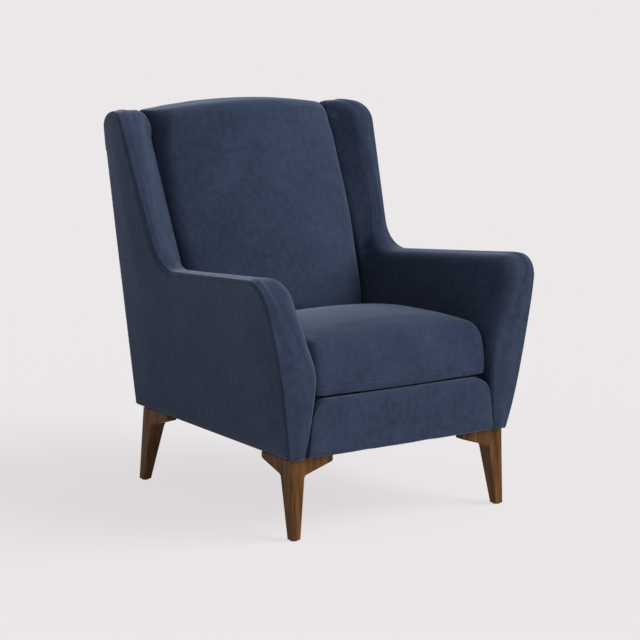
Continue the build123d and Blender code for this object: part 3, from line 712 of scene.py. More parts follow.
def on_back(height, x, z):
    """Place on the outside back, a height out from it."""
    return Vector((x, back_y(z) + BACK_PANEL_PROUD + height, z))


def back_outline():
    """Outline of the outside back between the two sides."""
    low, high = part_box("outside_back_panel")
    corners = []
    foot, head = (low.z, BASE_ROUND), (high.z, BACK_PANEL_HEAD_ROUND)
    for way, (z, radius) in ((-1.0, foot), (-1.0, head), (1.0, head), (1.0, foot)):
        half = side_x(back_y(z), z) - BACK_PANEL_GAP
        corners.append((Vector((0.0, way * half, z)), radius))
    bm = bmesh.new()
    bm.faces.new([bm.verts.new(corner) for corner, radius in corners])
    bm.normal_update()
    return rounded_outline(bm, corners)


back_edge = back_outline()
bm = upholstered_panel(back_edge, [1.0] * len(back_edge), on_back)
face_outwards(bm, Vector((0.0, 1.0, 0.0)))
cover("outside_back_velvet", bm, "outside_back_panel")

# %% [markdown]
# ## Arm and wing pads
# The band rolls round the outer edge, crosses the arm's front and top, and a second, fainter seam joins
# it to the inside cover, which rolls over the inner edge and falls to the seat. So the pad is built in
# rows along the path: each station gets its own edge, band, seam, roll and lean, and the inside is a
# face cut into squares.

# %% Inside of arm and wing
HOLLOW_FRONT = 0.2345
HOLLOW_BACK = 0.215
HOLLOW_WAIST = 0.385
HOLLOW_SPREAD = tan(radians(19.0))
HOLLOW_TUCK = tan(radians(6.0))
HOLLOW_BLEND = 0.022
WING_THROAT = 0.306
WING_NOSE = 0.008
WING_CREASE = 0.0255
WING_CREASE_RISE = 0.102
POST_FRONT = 0.304
POST_TOP = 0.868
POST_SLANT = 2.5
WING_OPEN = 1.5
BACK_HALF = 0.2552
CREASE_BLEND = 0.03
TUCK_BLEND = 0.012


def hollow_half(y, z):
    """Half width between the arms: narrow at the waist and wider above and below it."""
    waist = HOLLOW_FRONT + (HOLLOW_BACK - HOLLOW_FRONT) * (y - FRONT) / (BACK - FRONT)
    rise = z - HOLLOW_WAIST
    soft = sqrt(rise ** 2 + HOLLOW_BLEND ** 2)
    return waist + HOLLOW_SPREAD * (soft + rise) / 2 + HOLLOW_TUCK * (soft - rise) / 2


def wing_half(y, z):
    """Half width between the wings: open ahead of the wing's front edge, closing to cover the back post."""
    behind = y - wing_y(z) - WING_NOSE
    crease = WING_CREASE + WING_CREASE_RISE * max(z - ARM_BACK_HEIGHT, 0.0)
    slant = (WING_THROAT - BACK_HALF) / (crease - WING_NOSE)
    face = WING_THROAT - (slant if behind > 0.0 else WING_OPEN) * behind
    return min(face, BACK_HALF + POST_SLANT * (POST_FRONT - y + max(z - POST_TOP, 0.0)))


def eased(gap, blend):
    """How far the turn from one face to another is eased, where they lie closer than a blend."""
    return (max(blend - abs(gap), 0.0) / 2) ** 2 / blend


def inside_x(y, z):
    """Half width between the inside covers, with soft creases where arm, wing and back pad meet."""
    arm, wing = hollow_half(y, z), wing_half(y, z)
    inside = min(arm, wing) - eased(arm - wing, CREASE_BLEND)
    tucked = min(arm, BACK_HALF)
    return max(inside, tucked) + eased(inside - tucked, TUCK_BLEND)


print("between the arms at the front:", round(2 * hollow_half(FRONT, HOLLOW_WAIST), 3), "m")

# %% Sections of a pad
BAND_WIDTHS = ((0.0, 0.030), (0.06, 0.055), (0.12, 0.076), (0.16, 0.081), (0.21, 0.070), (0.27, 0.053),
               (0.325, 0.037), (0.38, 0.021), (0.42, 0.023), (0.48, 0.036), (0.95, 0.040), (1.30, 0.031))
ROLLS = ((0.0, 0.012), (0.08, 0.010), (0.175, 0.010), (0.225, 0.026), (0.28, 0.036), (0.33, 0.043),
         (0.42, 0.040), (0.80, 0.036), (0.93, 0.026), (1.08, 0.026), (1.20, 0.036), (1.30, 0.036),
         (1.34, 0.016), (1.37, 0.008))
EDGE_ROUND = 0.007
EDGE_ROWS = (0.0, 0.0010, 0.0020, 0.0032)
EDGE_STEPS = 5
INNER_SEAM_DEPTH = 0.0003
SEAM_ROWS = (0.0012, 0.0026, 0.0042, 0.0066, 0.0095)
BAND_STEPS = 5
ROLL_STEPS = 11
RUN_ROWS = (0.006, 0.014, 0.024)
BAND_CROWN = 0.0025
LEAN_PLACES = (0.012, 0.024)


def even(low, high, count):
    """Places between two ends, which are left out."""
    return [low + (high - low) * step / count for step in range(1, count)]


def outer_edge(point, way, back):
    """Rows of the band's rounded outer edge, from the seam on the side face to the front."""
    length = pi / 2 * sqrt((back ** 2 + EDGE_ROUND ** 2) / 2)
    section = []
    for row in [*EDGE_ROWS, *even(EDGE_ROWS[-1], length, EDGE_STEPS)]:
        angle = pi / 2 * row / length
        lift = seam_height(row, SEAM_DEPTH)
        depth = back * (1.0 - sin(angle))
        x = side_x(*(point + way * depth)) - EDGE_ROUND * (1.0 - cos(angle)) + lift * cos(angle)
        section.append((x, depth - lift * sin(angle)))
    return section


def band_section(point, way, distance):
    """Section of the pad at one station: rows of half width and depth below the outline."""
    near, far = (inside_x(*(point + way * place)) for place in LEAN_PLACES)
    slope = (near - far) / (LEAN_PLACES[1] - LEAN_PLACES[0])
    turn = pi / 2 - atan(slope)
    roll = along_path(ROLLS, distance)
    outer = side_x(*point) - EDGE_ROUND
    flat = max(outer - near - slope * LEAN_PLACES[0] - roll * tan(turn / 2), 0.0)
    end = flat + roll * turn
    seam = min(along_path(BAND_WIDTHS, distance), end - SEAM_ROWS[-1])
    rows = [0.0, *even(0.0, seam - SEAM_ROWS[-1], BAND_STEPS)]
    rows += [seam - row for row in reversed(SEAM_ROWS)] + [seam] + [seam + row for row in SEAM_ROWS]
    rows += even(seam + SEAM_ROWS[-1], end, ROLL_STEPS) + [end] + [end + row for row in RUN_ROWS]
    section = outer_edge(point, way, along_path(SETBACKS, distance))
    for row in rows:
        angle = min(max(row - flat, 0.0) / roll, turn)
        run = max(row - end, 0.0)
        lift = seam_height(row - seam, INNER_SEAM_DEPTH)
        if row < seam:
            lift += BAND_CROWN * sin(pi * row / seam) ** 2
        x = outer - min(row, flat) - roll * sin(angle) - run * cos(turn) - lift * sin(angle)
        depth = roll * (1.0 - cos(angle)) + run * sin(turn) - lift * cos(angle)
        section.append((x, depth))
    return section


band_ways = across(path, False)
band_ways[0] = Vector((1.0, 0.0))
sections = [band_section(*station) for station in zip(path, band_ways, distances)]
print(len(sections), "stations along the band, each with", len(sections[0]), "rows")

# %% Arm and wing pads
INSIDE_FOOT = 0.10
DECK_LINE = 0.285


def arm_pad():
    """Builds the right-hand pad: band, seams, roll and inside cover."""
    bm = bmesh.new()
    row = None
    for column in zip(*sections):
        places = [Vector((x, *(point + way * depth)))
                  for (x, depth), point, way in zip(column, path, band_ways)]
        row = next_row(bm, row, places) if row else first_row(bm, places, False)
    inner = [vert for vert in row if vert.co.z > DECK_LINE]
    for vert in inner:
        vert.co.x = 0.0
    foot = bm.verts.new((0.0, wing_y(DECK_LINE) + INSIDE_FOOT, DECK_LINE))
    for vert in cut_squares(bm, bm.faces.new(inner + [foot]), FINE_SQUARE):
        vert.co.x = inside_x(vert.co.y, vert.co.z)
    face_outwards(bm, Vector((0.0, 0.0, 1.0)))
    return bm


cover_sides(arm_pad, "_arm_velvet", "_arm_pad")

# %% [markdown]
# ## Filled pieces
# The back pad, the seat cushion, the apron and the deck pad are filled with foam and fibre. Each one
# starts as a copy of its solid, remeshed into even squares. A formula rounds the copy as sewing and
# filling do, and it is kept between the arms. A cloth simulation with pressure inside then shows how
# far each point would rise. That rise is capped, evened out over the cloth and added to the shape, so
# the piece swells without a crease. What is fixed to the frame, or lies on the deck, is held. The deck
# pad is stapled flat all over, so it only gets its even squares.

# %% Room between the arms
PAD_PRESS = 0.0010
LOOSE_CLEAR = 0.0006
NARROWEST = 0.371


def kept_within(place, limit):
    """Keeps a place within a half width."""
    return Vector((min(max(place.x, -limit), limit), place.y, place.z))


def between_arms(place):
    """Lets a fixed piece press a little into the inside covers of the arms and wings, and no further."""
    return kept_within(place, inside_x(place.y, place.z) + PAD_PRESS)


def free_to_lift(place):
    """Keeps the loose cushion clear of the arms, also where it passes their narrowest height."""
    return kept_within(place, inside_x(place.y, max(place.z, NARROWEST)) - LOOSE_CLEAR)


print("room for the cushion at its front:", round(2 * inside_x(FRONT, NARROWEST), 3), "m")

# %% Copies of solids
WELD = 1e-5


def bake(piece):
    """Makes what a piece's modifiers show its own mesh."""
    graph = bpy.context.evaluated_depsgraph_get()
    shaped = bpy.data.meshes.new_from_object(piece.evaluated_get(graph))
    old = piece.data
    piece.modifiers.clear()
    piece.data = shaped
    bpy.data.meshes.remove(old)


def remeshed_copy(node, name, material, voxel):
    """Copies a solid and remeshes the copy into even squares."""
    bm = bmesh.new()
    bm.from_mesh(nodes[node].data)
    bmesh.ops.remove_doubles(bm, verts=bm.verts, dist=WELD)
    piece = new_piece(name, bm, material, nodes[node]["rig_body"])
    remesh = piece.modifiers.new("even_squares", "REMESH")
    remesh.mode = "VOXEL"
    remesh.voxel_size = voxel
    bake(piece)
    return piece


def reshape(piece, shape, held, rounds):
    """Moves a piece's vertices by a formula and smooths what isn't held, in so many rounds."""
    bm = bmesh.new()
    bm.from_mesh(piece.data)
    for vert in bm.verts:
        vert.co = shape(vert.co)
    free = [vert for vert in bm.verts if not held(vert.co)]
    for turn in range(rounds):
        bmesh.ops.smooth_vert(bm, verts=free, factor=0.5, use_axis_x=True, use_axis_y=True, use_axis_z=True)
    bm.to_mesh(piece.data)
    bm.free()


print("doubles within", MM * WELD, "mm merge in a copy")

# %% Filling
PRESSURE = 4.0
LAST_FRAME = 20
EVEN_ROUNDS = 30


def places_of(mesh):
    """Places of a mesh's vertices, as rows of an array."""
    found = np.empty(3 * len(mesh.vertices))
    mesh.vertices.foreach_get("co", found)
    return found.reshape(-1, 3)


def move_to(mesh, places):
    """Moves a mesh's vertices."""
    mesh.vertices.foreach_set("co", places.ravel())
    mesh.update()


def draw_in(piece, held, smaller):
    """Draws a piece in where it isn't held, and returns its places, its first normals and what is held."""
    mesh = piece.data
    is_held = np.array([held(vert.co) for vert in mesh.vertices])
    normals = np.array([vert.normal for vert in mesh.vertices])
    places = places_of(mesh) - normals * np.where(is_held, 0.0, smaller)[:, None]
    move_to(mesh, places)
    return places, normals, is_held


def blown_up(piece, is_held):
    """Places of a piece's vertices after its filling has pressed on the cover."""
    group = piece.vertex_groups.new(name="held")
    group.add(np.flatnonzero(is_held).tolist(), 1.0, "ADD")
    cloth = piece.modifiers.new("filling", "CLOTH")
    cloth.settings.use_pressure = True
    cloth.settings.uniform_pressure_force = PRESSURE
    cloth.settings.effector_weights.gravity = 0.0
    cloth.settings.vertex_group_mass = group.name
    cloth.point_cache.frame_start = 1
    cloth.point_cache.frame_end = LAST_FRAME
    for step in range(1, LAST_FRAME + 1):
        scene.frame_set(step)
    bake(piece)
    piece.vertex_groups.clear()
    scene.frame_set(1)
    return places_of(piece.data)


def evened(values, edges):
    """Evens out a value over a mesh, from each vertex to its neighbours."""
    count = np.bincount(edges.ravel(), minlength=len(values))
    for turn in range(EVEN_ROUNDS):
        total = np.bincount(edges[:, 0], values[edges[:, 1]], len(values))
        total += np.bincount(edges[:, 1], values[edges[:, 0]], len(values))
        values = (values + total / count) / 2
    return values


def fill(piece, held, smaller, cap):
    """Draws a piece in, blows it up by its filling, and adds the evened rise to the smaller shape."""
    edges = np.array([edge.vertices for edge in piece.data.edges])
    start, normals, is_held = draw_in(piece, held, smaller)
    rise = np.full(len(start), smaller)
    rise = ((blown_up(piece, is_held) - start) * normals).sum(1)
    print(piece.name, "rises", round(MM * float(rise.mean()), 1), "mm, at most",
          round(MM * float(rise.max()), 1))
    rise = evened(np.where(is_held, 0.0, np.clip(rise, 0.0, cap)), edges)
    move_to(piece.data, start + normals * rise[:, None])


def finish_filled(piece, keep, node):
    move_to(piece.data, np.array([keep(vert.co) for vert in piece.data.vertices]))
    piece.data.shade_smooth()
    finer = piece.modifiers.new("finer", "SUBSURF")
    finer.levels = 1
    finer.render_levels = 1
    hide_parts(node)
    print(piece.name, len(piece.data.polygons), "faces before subdivision")


print("a filling presses for", LAST_FRAME, "frames")

# %% [markdown]
# ## Back pad
# The back pad is crowned to the front and arched on top, and it is widest half way up. Its front rolls
# over into the top and round the top corners without an edge, so the formula lowers the top of the copy
# to a roll that follows the arch.

# %% Back pad
PAD_HALF = 0.2547
PAD_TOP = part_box("back_pad")[1].z
PAD_ARCH = 0.022
PAD_CROWN = 0.040
PAD_EDGE = 0.008
PAD_ROLL = 0.045
PAD_TOP_ROLL = 0.060
PAD_CORNER = 0.024
PAD_RAISED = 0.005
PAD_RAISED_FROM = 0.75
PAD_REAR_WIDER = 0.014
PAD_WIDEST = 0.660
PAD_BULGE = 0.022
PAD_TAPER = 0.85
PAD_HELD = 0.045
PAD_CAP = 0.075


def rounding(inside, radius):
    """How far a rounded edge has fallen, at a distance inside the edge."""
    gap = radius - min(max(inside, 0.0), radius)
    return radius - sqrt(radius ** 2 - gap ** 2)


def pad_front(x, z):
    """Depth of the back pad's crowned front."""
    share = min(abs(x) / PAD_HALF, 1.0)
    crown = (PAD_CROWN + PAD_EDGE) * (1.0 - share ** 2)
    return wing_y(z) + PAD_EDGE - crown + rounding(PAD_HALF - abs(x), PAD_ROLL)


def pad_shape(place):
    """Rolls the back pad's top over to the front and its corners, and swells its sides."""
    x, y, z = place
    share = min(abs(x) / PAD_HALF, 1.0)
    z += PAD_RAISED * max(z - PAD_RAISED_FROM, 0.0) / (PAD_TOP - PAD_RAISED_FROM)
    top = PAD_TOP + PAD_RAISED - PAD_ARCH * share ** 2
    behind = y - pad_front(x, top - PAD_TOP_ROLL)
    ahead = max(1.0 - behind / PAD_TOP_ROLL, 0.0)
    z = min(z, top - rounding(behind, PAD_TOP_ROLL) - ahead * rounding(PAD_HALF - abs(x), PAD_CORNER))
    bulge = PAD_BULGE - PAD_TAPER * (z - PAD_WIDEST) ** 2
    bulge = max(bulge, PAD_REAR_WIDER * (1.0 - ahead) + bulge * ahead)
    return between_arms(Vector((x * (1.0 + bulge * share ** 2), y, z)))


def pad_held(place):
    """True where the back pad is fixed to the frame behind it, below its top."""
    return place.y > wing_y(place.z) + PAD_HELD and place.z < PAD_TOP - PAD_CAP


back_pad = remeshed_copy("back_pad", "back_pad_velvet", velvet, voxel=0.0070)
reshape(back_pad, pad_shape, pad_held, rounds=6)
fill(back_pad, pad_held, smaller=0.004, cap=0.006)
finish_filled(back_pad, between_arms, "back_pad")

# %% [markdown]
# ## Seat cushion
# The loose cushion is a boxed cover round a foam core. Its top edge falls over in a wide soft roll, its
# front corners are full, and a seam runs round it a thumb's breadth above its underside. The copy is
# made from the core, since the cover is only a shell, and the filling brings it out to the cover. A roll
# is given as the height at which it starts, its rise and how far it reaches in.

# %% Shape of the cushion
CUSHION_FRONT = -0.377
CUSHION_FOOT = 0.318
CUSHION_HALF = 0.241
CUSHION_DEPTH_HALF = 0.224
CUSHION_MIDDLE = CUSHION_FRONT + CUSHION_DEPTH_HALF
SEAT_FALL = tan(radians(2.5))
FRONT_ROLL_WANTED = (0.040, 0.092, 0.070)
SIDE_ROLL_WANTED = (0.108, 0.024, 0.015)
SIDE_LEAN = 0.13
LEAN_START = 0.045
ROLL_FADE = 0.75
ROLL_FADE_POWER = 4
DOME = 0.011
DOME_START = 0.060
TOP_ROLL_SOLID = (0.096, 0.036, 0.036)
FOOT_ROLL_WANTED = (-0.013, 0.013, 0.013)
FOOT_ROLL_SOLID = (-0.016, 0.016, 0.016)
SIDES_OUT = 0.04
CORNER_FULL = 0.19
CORNER_POWER = 8
REST = 0.005
FRONT_DROOP = 0.0045
DROOP_START = 0.190
DROOP_HEIGHT = 0.040


def cushion_floor(y):
    """Height of the cushion's underside, which falls to the back."""
    return CUSHION_FOOT - SEAT_FALL * (y - CUSHION_FRONT)


def rolled_in(height, start, rise, reach):
    """How far a rolled edge has come in, at a height above where its roll starts."""
    share = min(max((height - start) / rise, 0.0), 1.0)
    return reach * (1.0 - sqrt(1.0 - share ** 2))


def cushion_shape(place):
    """Rounds the cushion's edges, fills out its front corners and lets its front foot hang to the apron."""
    height = place.z - cushion_floor(place.y)
    foot = rolled_in(-height, *FOOT_ROLL_WANTED) - rolled_in(-height, *FOOT_ROLL_SOLID)
    out = min(abs(place.x / CUSHION_HALF), 1.0)
    back = place.y - CUSHION_MIDDLE
    solid = rolled_in(height, *TOP_ROLL_SOLID)
    fade = 1.0 - ROLL_FADE * out ** ROLL_FADE_POWER
    front = foot + rolled_in(height, *FRONT_ROLL_WANTED) * fade - solid
    side = foot + rolled_in(height, *SIDE_ROLL_WANTED) + SIDE_LEAN * max(height - LEAN_START, 0.0) - solid
    corner = out * max(-back / CUSHION_DEPTH_HALF, 0.0)
    full = 1.0 + CORNER_FULL * corner ** CORNER_POWER
    x = place.x * (full + SIDES_OUT - side / CUSHION_HALF)
    y = CUSHION_MIDDLE + back * (full - front / CUSHION_DEPTH_HALF)
    ahead = min(max((-back - DROOP_START) / (CUSHION_DEPTH_HALF - DROOP_START), 0.0), 1.0)
    droop = FRONT_DROOP * sin(ahead * pi / 2) * max(1.0 - height / DROOP_HEIGHT, 0.0)
    dome = DOME * (1.0 - out ** 2) * max(1.0 - (back / CUSHION_DEPTH_HALF) ** 2, 0.0)
    rise = dome * min(max(height / DOME_START - 1.0, 0.0), 1.0)
    return free_to_lift(Vector((x, max(y, CUSHION_FRONT), place.z + rise - droop)))


def cushion_rests(place):
    """True on the cushion's underside, which lies on the deck."""
    return place.z < cushion_floor(place.y) + REST


cushion_fall = CUSHION_FOOT - cushion_floor(CUSHION_FRONT + 2 * CUSHION_DEPTH_HALF)
print("the cushion lies", round(MM * cushion_fall, 1), "mm lower at its back")

# %% Seat cushion
LOW_SEAM = 0.021
LOW_SEAM_DEPTH = 0.0018
LOW_SEAM_ROWS = (-0.0030, 0.0, 0.0030)


def sew_low_seam(piece):
    """Cuts rows round the cushion and draws the middle one in as a seam."""
    bm = bmesh.new()
    bm.from_mesh(piece.data)
    up = Vector((0.0, SEAT_FALL, 1.0)).normalized()
    for row in LOW_SEAM_ROWS:
        place = Vector((0.0, CUSHION_FRONT, CUSHION_FOOT + LOW_SEAM + row))
        made = bmesh.ops.bisect_plane(bm, geom=[*bm.verts, *bm.edges, *bm.faces], dist=NEAR, plane_co=place,
                                      plane_no=up)
        if row == 0.0:
            sewn = [part for part in made["geom_cut"] if isinstance(part, bmesh.types.BMVert)]
    bm.normal_update()
    moves = [vert.normal * LOW_SEAM_DEPTH for vert in sewn]
    for vert, move in zip(sewn, moves):
        vert.co -= move
    bm.to_mesh(piece.data)
    bm.free()


cushion = remeshed_copy("seat_cushion_core", "seat_cushion_velvet", velvet, voxel=0.006)
reshape(cushion, cushion_shape, cushion_rests, rounds=6)
fill(cushion, cushion_rests, smaller=0.002, cap=0.006)
sew_low_seam(cushion)
finish_filled(cushion, free_to_lift, "seat_cushion_cover")

# %% [markdown]
# ## Foam, apron and deck
# Under the cover lies the foam core, shaped alike and smaller. The apron is a padded border on the front
# rail with round top corners. The deck pad lies on the springs under a plain woven lining, because
# velvet would be wasted under the cushion.

# %% Foam core
FOAM_DARK = (0.55, 0.50, 0.36, 1.0)
FOAM_PALE = (0.78, 0.74, 0.60, 1.0)
FOAM_CELLS = 700.0
FOAM_CELL_DEPTH = 0.0006
FOAM_INSET = 0.008


def cells(tree, count):
    """Gives cells of about so many to the metre."""
    return add(tree, "ShaderNodeTexVoronoi", {"Vector": object_place(tree), "Scale": count}).outputs[0]


def make_foam():
    """Cream foam with open cells."""
    material, tree, shader = new_material("cream_foam", Specular_IOR_Level=0.1, Roughness=0.95)
    pores = cells(tree, FOAM_CELLS)
    colour = ramp(tree, pores, (0.1, FOAM_DARK), (0.6, FOAM_PALE))
    dress(tree, shader, colour, [(pores, FOAM_CELL_DEPTH)])
    return material


foam = remeshed_copy("seat_cushion_core", "seat_cushion_foam", make_foam(), voxel=0.012)
reshape(foam, cushion_shape, cushion_rests, rounds=1)
draw_in(foam, cushion_rests, FOAM_INSET)
finish_filled(foam, free_to_lift, "seat_cushion_core")

# %% Apron
APRON_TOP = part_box("front_apron_pad")[1].z
APRON_CORNER = 0.046
APRON_WIDER = 1.02


def apron_shape(place):
    """Rounds the apron's top corners and presses its ends against the arms."""
    half = inside_x(BASE_FRONT, APRON_TOP)
    top = APRON_TOP - rounding(half - abs(place.x), APRON_CORNER)
    return between_arms(Vector((place.x * APRON_WIDER, place.y, min(place.z, top))))


def apron_held(place):
    """True where the apron is fixed to the front rail."""
    return place.y > BASE_FRONT


apron = remeshed_copy("front_apron_pad", "front_apron_velvet", velvet, voxel=0.005)
reshape(apron, apron_shape, apron_held, rounds=3)
fill(apron, apron_held, smaller=0.001, cap=0.003)
finish_filled(apron, between_arms, "front_apron_pad")

# %% Deck pad
LINING_DARK = (0.012, 0.015, 0.022, 1.0)
LINING_PALE = (0.040, 0.048, 0.066, 1.0)
WAVE_PACE = 20.0
UNEVEN_WAVES = 60.0


def weave(tree, pace):
    """Height of a plain weave: two crossed sets of threads, whose waves run so many radians to the metre."""
    waves = []
    for direction in ("X", "Y"):
        inputs = {"Vector": object_place(tree), "Scale": pace / WAVE_PACE}
        waves.append(add(tree, "ShaderNodeTexWave", inputs, bands_direction=direction).outputs[1])
    return add(tree, "ShaderNodeMath", {0: waves[0], 1: waves[1]}, operation="MULTIPLY").outputs[0]


def make_woven(name, dark, pale, pace, depth):
    """A plain woven cloth with a few uneven threads."""
    material, tree, shader = new_material(name, Specular_IOR_Level=0.15, Roughness=0.9)
    threads = weave(tree, pace)
    shade = weighed(tree, (threads, 0.7), (noise(tree, UNEVEN_WAVES, detail=3.0), 0.3))
    dress(tree, shader, ramp(tree, shade, (0.1, dark), (0.8, pale)), [(threads, depth)])
    return material


lining = make_woven("plain_lining", LINING_DARK, LINING_PALE, pace=900.0, depth=0.0004)
deck = remeshed_copy("seat_deck_pad", "seat_deck_lining", lining, voxel=0.006)
finish_filled(deck, between_arms, "seat_deck_pad")

# %% [markdown]
# ## Frame, springs and fittings
# The timbers, springs, straps, screws and glides keep their solids, and each gets its own finish. Grain
# follows a timber's length, so rails across, rails from front to back and posts have their noise drawn
# out along X, Y or Z. Wire and screws are metal with faint marks, and the straps are woven.

# %% Finishes of the frame
PINE_DARK = (0.30, 0.19, 0.095, 1.0)
PINE_MID = (0.47, 0.34, 0.19, 1.0)
PINE_PALE = (0.58, 0.45, 0.28, 1.0)
PINE_WAVES = 45.0
FIBRE_WAVES = 500.0
FIBRE_DEPTH = 0.0003
ALONG = 0.06
PLANED_ROUGHNESS = (0.6, 0.85)
WIRE_DARK = (0.16, 0.16, 0.17, 1.0)
WIRE_PALE = (0.34, 0.34, 0.35, 1.0)
ZINC_DARK = (0.42, 0.42, 0.42, 1.0)
ZINC_PALE = (0.62, 0.62, 0.61, 1.0)
STEEL_WAVES = 220.0
STEEL_ROUGHNESS = (0.28, 0.52)
STRAP_DARK = (0.035, 0.035, 0.038, 1.0)
STRAP_PALE = (0.17, 0.17, 0.18, 1.0)
GLIDE_DARK = (0.016, 0.016, 0.017, 1.0)
GLIDE_PALE = (0.040, 0.040, 0.042, 1.0)
GLIDE_WAVES = 1200.0
GLIDE_ROUGHNESS = (0.4, 0.6)
MARK_DEPTH = 0.0001


def make_pine(name, stretch):
    """Planed softwood with bands of late wood along the timber."""
    material, tree, shader = new_material(name, Specular_IOR_Level=0.2)
    figure = noise(tree, PINE_WAVES, detail=4.0, stretch=stretch)
    fibres = noise(tree, FIBRE_WAVES, stretch=stretch)
    shade = weighed(tree, (figure, 0.75), (fibres, 0.25))
    colour = ramp(tree, shade, (0.34, PINE_DARK), (0.46, PINE_MID), (0.66, PINE_PALE))
    dress(tree, shader, colour, [(fibres, FIBRE_DEPTH)], spread(tree, fibres, *PLANED_ROUGHNESS))
    return material


def marked(material, tree, shader, marks, dark, pale, roughness):
    """Gives a smooth finish faint marks, in which colour, roughness and height vary together."""
    colour = ramp(tree, marks, (0.35, dark), (0.65, pale))
    dress(tree, shader, colour, [(marks, MARK_DEPTH)], spread(tree, marks, *roughness))
    return material


def make_metal(name, dark, pale):
    """Bare or plated steel with faint marks."""
    made = new_material(name, Metallic=1.0)
    return marked(*made, noise(made[1], STEEL_WAVES, detail=4.0), dark, pale, STEEL_ROUGHNESS)


def make_plastic(name, dark, pale):
    """Moulded plastic with a fine grain."""
    made = new_material(name, Specular_IOR_Level=0.4)
    return marked(*made, noise(made[1], GLIDE_WAVES), dark, pale, GLIDE_ROUGHNESS)


pine_across = make_pine("pine_across", (ALONG, 1.0, 1.0))
pine_deep = make_pine("pine_deep", (1.0, ALONG, 1.0))
pine_upright = make_pine("pine_upright", (1.0, 1.0, ALONG))
spring_wire = make_metal("spring_wire", WIRE_DARK, WIRE_PALE)
zinc = make_metal("zinc_plated_steel", ZINC_DARK, ZINC_PALE)
webbing = make_woven("woven_elastic", STRAP_DARK, STRAP_PALE, pace=500.0, depth=0.0006)
glide_plastic = make_plastic("black_plastic", GLIDE_DARK, GLIDE_PALE)
print("made", pine_across.name, spring_wire.name, zinc.name, webbing.name, "and", glide_plastic.name)

# %% Frame, springs and fittings
FINISHES = {
    pine_across: ("front_seat_rail", "back_seat_rail", "rear_spring_rail", "back_top_rail"),
    pine_deep: ("left_seat_rail", "right_seat_rail", "left_arm_rail", "right_arm_rail"),
    pine_upright: ("left_front_post", "right_front_post", "left_back_post", "right_back_post",
                   "left_wing_post", "right_wing_post", "corner_blocks"),
    spring_wire: ("seat_spring_1", "seat_spring_2", "seat_spring_3", "seat_spring_4", "seat_spring_5",
                  "spring_clips", "cushion_zip_slider"),
    zinc: ("leg_screws",),
    webbing: ("back_strap_1", "back_strap_2", "back_strap_3", "back_strap_4"),
    glide_plastic: ("foot_glides",),
}
for finish, names in FINISHES.items():
    for name in names:
        nodes[name].data.materials[0] = finish
    print(finish.name, "on", len(names), "solids")

# %% [markdown]
# ## Dust cover
# A thin black cloth closes the underside. It is cut as a trapezium and stapled all round, stretched flat,
# and it sags by a few millimetres in the middle. It starts as one face cut into squares, which then sink.

# %% Dust cover
CLOTH_DARK = (0.010, 0.010, 0.010, 1.0)
CLOTH_PALE = (0.032, 0.032, 0.033, 1.0)
DUST_INSET = 0.009
DUST_SAG = 0.005
DUST_THICK = 0.0006
MATTED_WAVES = 650.0
MATTED_DEPTH = 0.0002
DIMPLES = 480.0
DIMPLE_DEPTH = 0.0004


def make_dust_cloth():
    """Thin black cloth of matted fibres."""
    material, tree, shader = new_material("matted_cloth", Specular_IOR_Level=0.15, Roughness=0.85)
    fibres = noise(tree, MATTED_WAVES, detail=4.0)
    colour = ramp(tree, fibres, (0.35, CLOTH_DARK), (0.65, CLOTH_PALE))
    dress(tree, shader, colour, [(fibres, MATTED_DEPTH), (cells(tree, DIMPLES), DIMPLE_DEPTH)])
    return material


dust_low, dust_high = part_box("dust_cover")
dust_level = (dust_low.z + dust_high.z + DUST_THICK) / 2
dust_corners = []
for y, ways in ((dust_low.y, (1.0, -1.0)), (dust_high.y, (-1.0, 1.0))):
    dust_corners += [Vector((way * (side_x(y, BASE) - SIDE_HOLLOW - DUST_INSET), y)) for way in ways]


def sagged(x, y):
    """Height of the dust cover, flat at its stapled edge and lowest in its middle."""
    across_share = min(abs(x) / abs(dust_corners[2].x), 1.0)
    deep_share = min(abs(y) / dust_high.y, 1.0)
    return dust_level - DUST_SAG * ((1.0 - across_share ** 2) * (1.0 - deep_share ** 2)) ** 2


bm = bmesh.new()
dust_face = bm.faces.new([bm.verts.new((0.0, *corner)) for corner in dust_corners])
for vert in cut_squares(bm, dust_face, SQUARE):
    x, y = vert.co.yz
    vert.co = (x, y, sagged(x, y))
face_outwards(bm, Vector((0.0, 0.0, -1.0)))
dust_area = sum(face.calc_area() for face in bm.faces)
dust_cloth = new_piece("dust_cover_cloth", bm, make_dust_cloth(), "chair")
give_thickness(dust_cloth, DUST_THICK)
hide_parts("dust_cover")

# %% Staples
STAPLE = (0.011, 0.0013, 0.0007)
STAPLE_STEP = 0.045
STAPLE_INSET = 0.010
STAPLE_EDGE = 0.0002
LEG_CLEAR = 0.14


def add_block(bm, place, size, edge_round, segments=1):
    """Adds a block with rounded edges, put in its place by a matrix."""
    made = bmesh.ops.create_cube(bm, size=1.0, matrix=place @ Matrix.Diagonal((*size, 1.0)))["verts"]
    edges = list(dict.fromkeys(edge for vert in made for edge in vert.link_edges))
    bmesh.ops.bevel(bm, geom=edges, offset=edge_round, segments=segments, profile=0.5, affect="EDGES",
                    material=-1)


def add_staple(bm, place, way):
    """Adds the crown of a wire staple, lying along a direction under the dust cover."""
    turn = way.to_3d().to_track_quat("X", "Z").to_matrix().to_4x4()
    level = dust_level - DUST_THICK - STAPLE[2] / 2
    add_block(bm, Matrix.Translation((*place, level)) @ turn, STAPLE, STAPLE_EDGE)


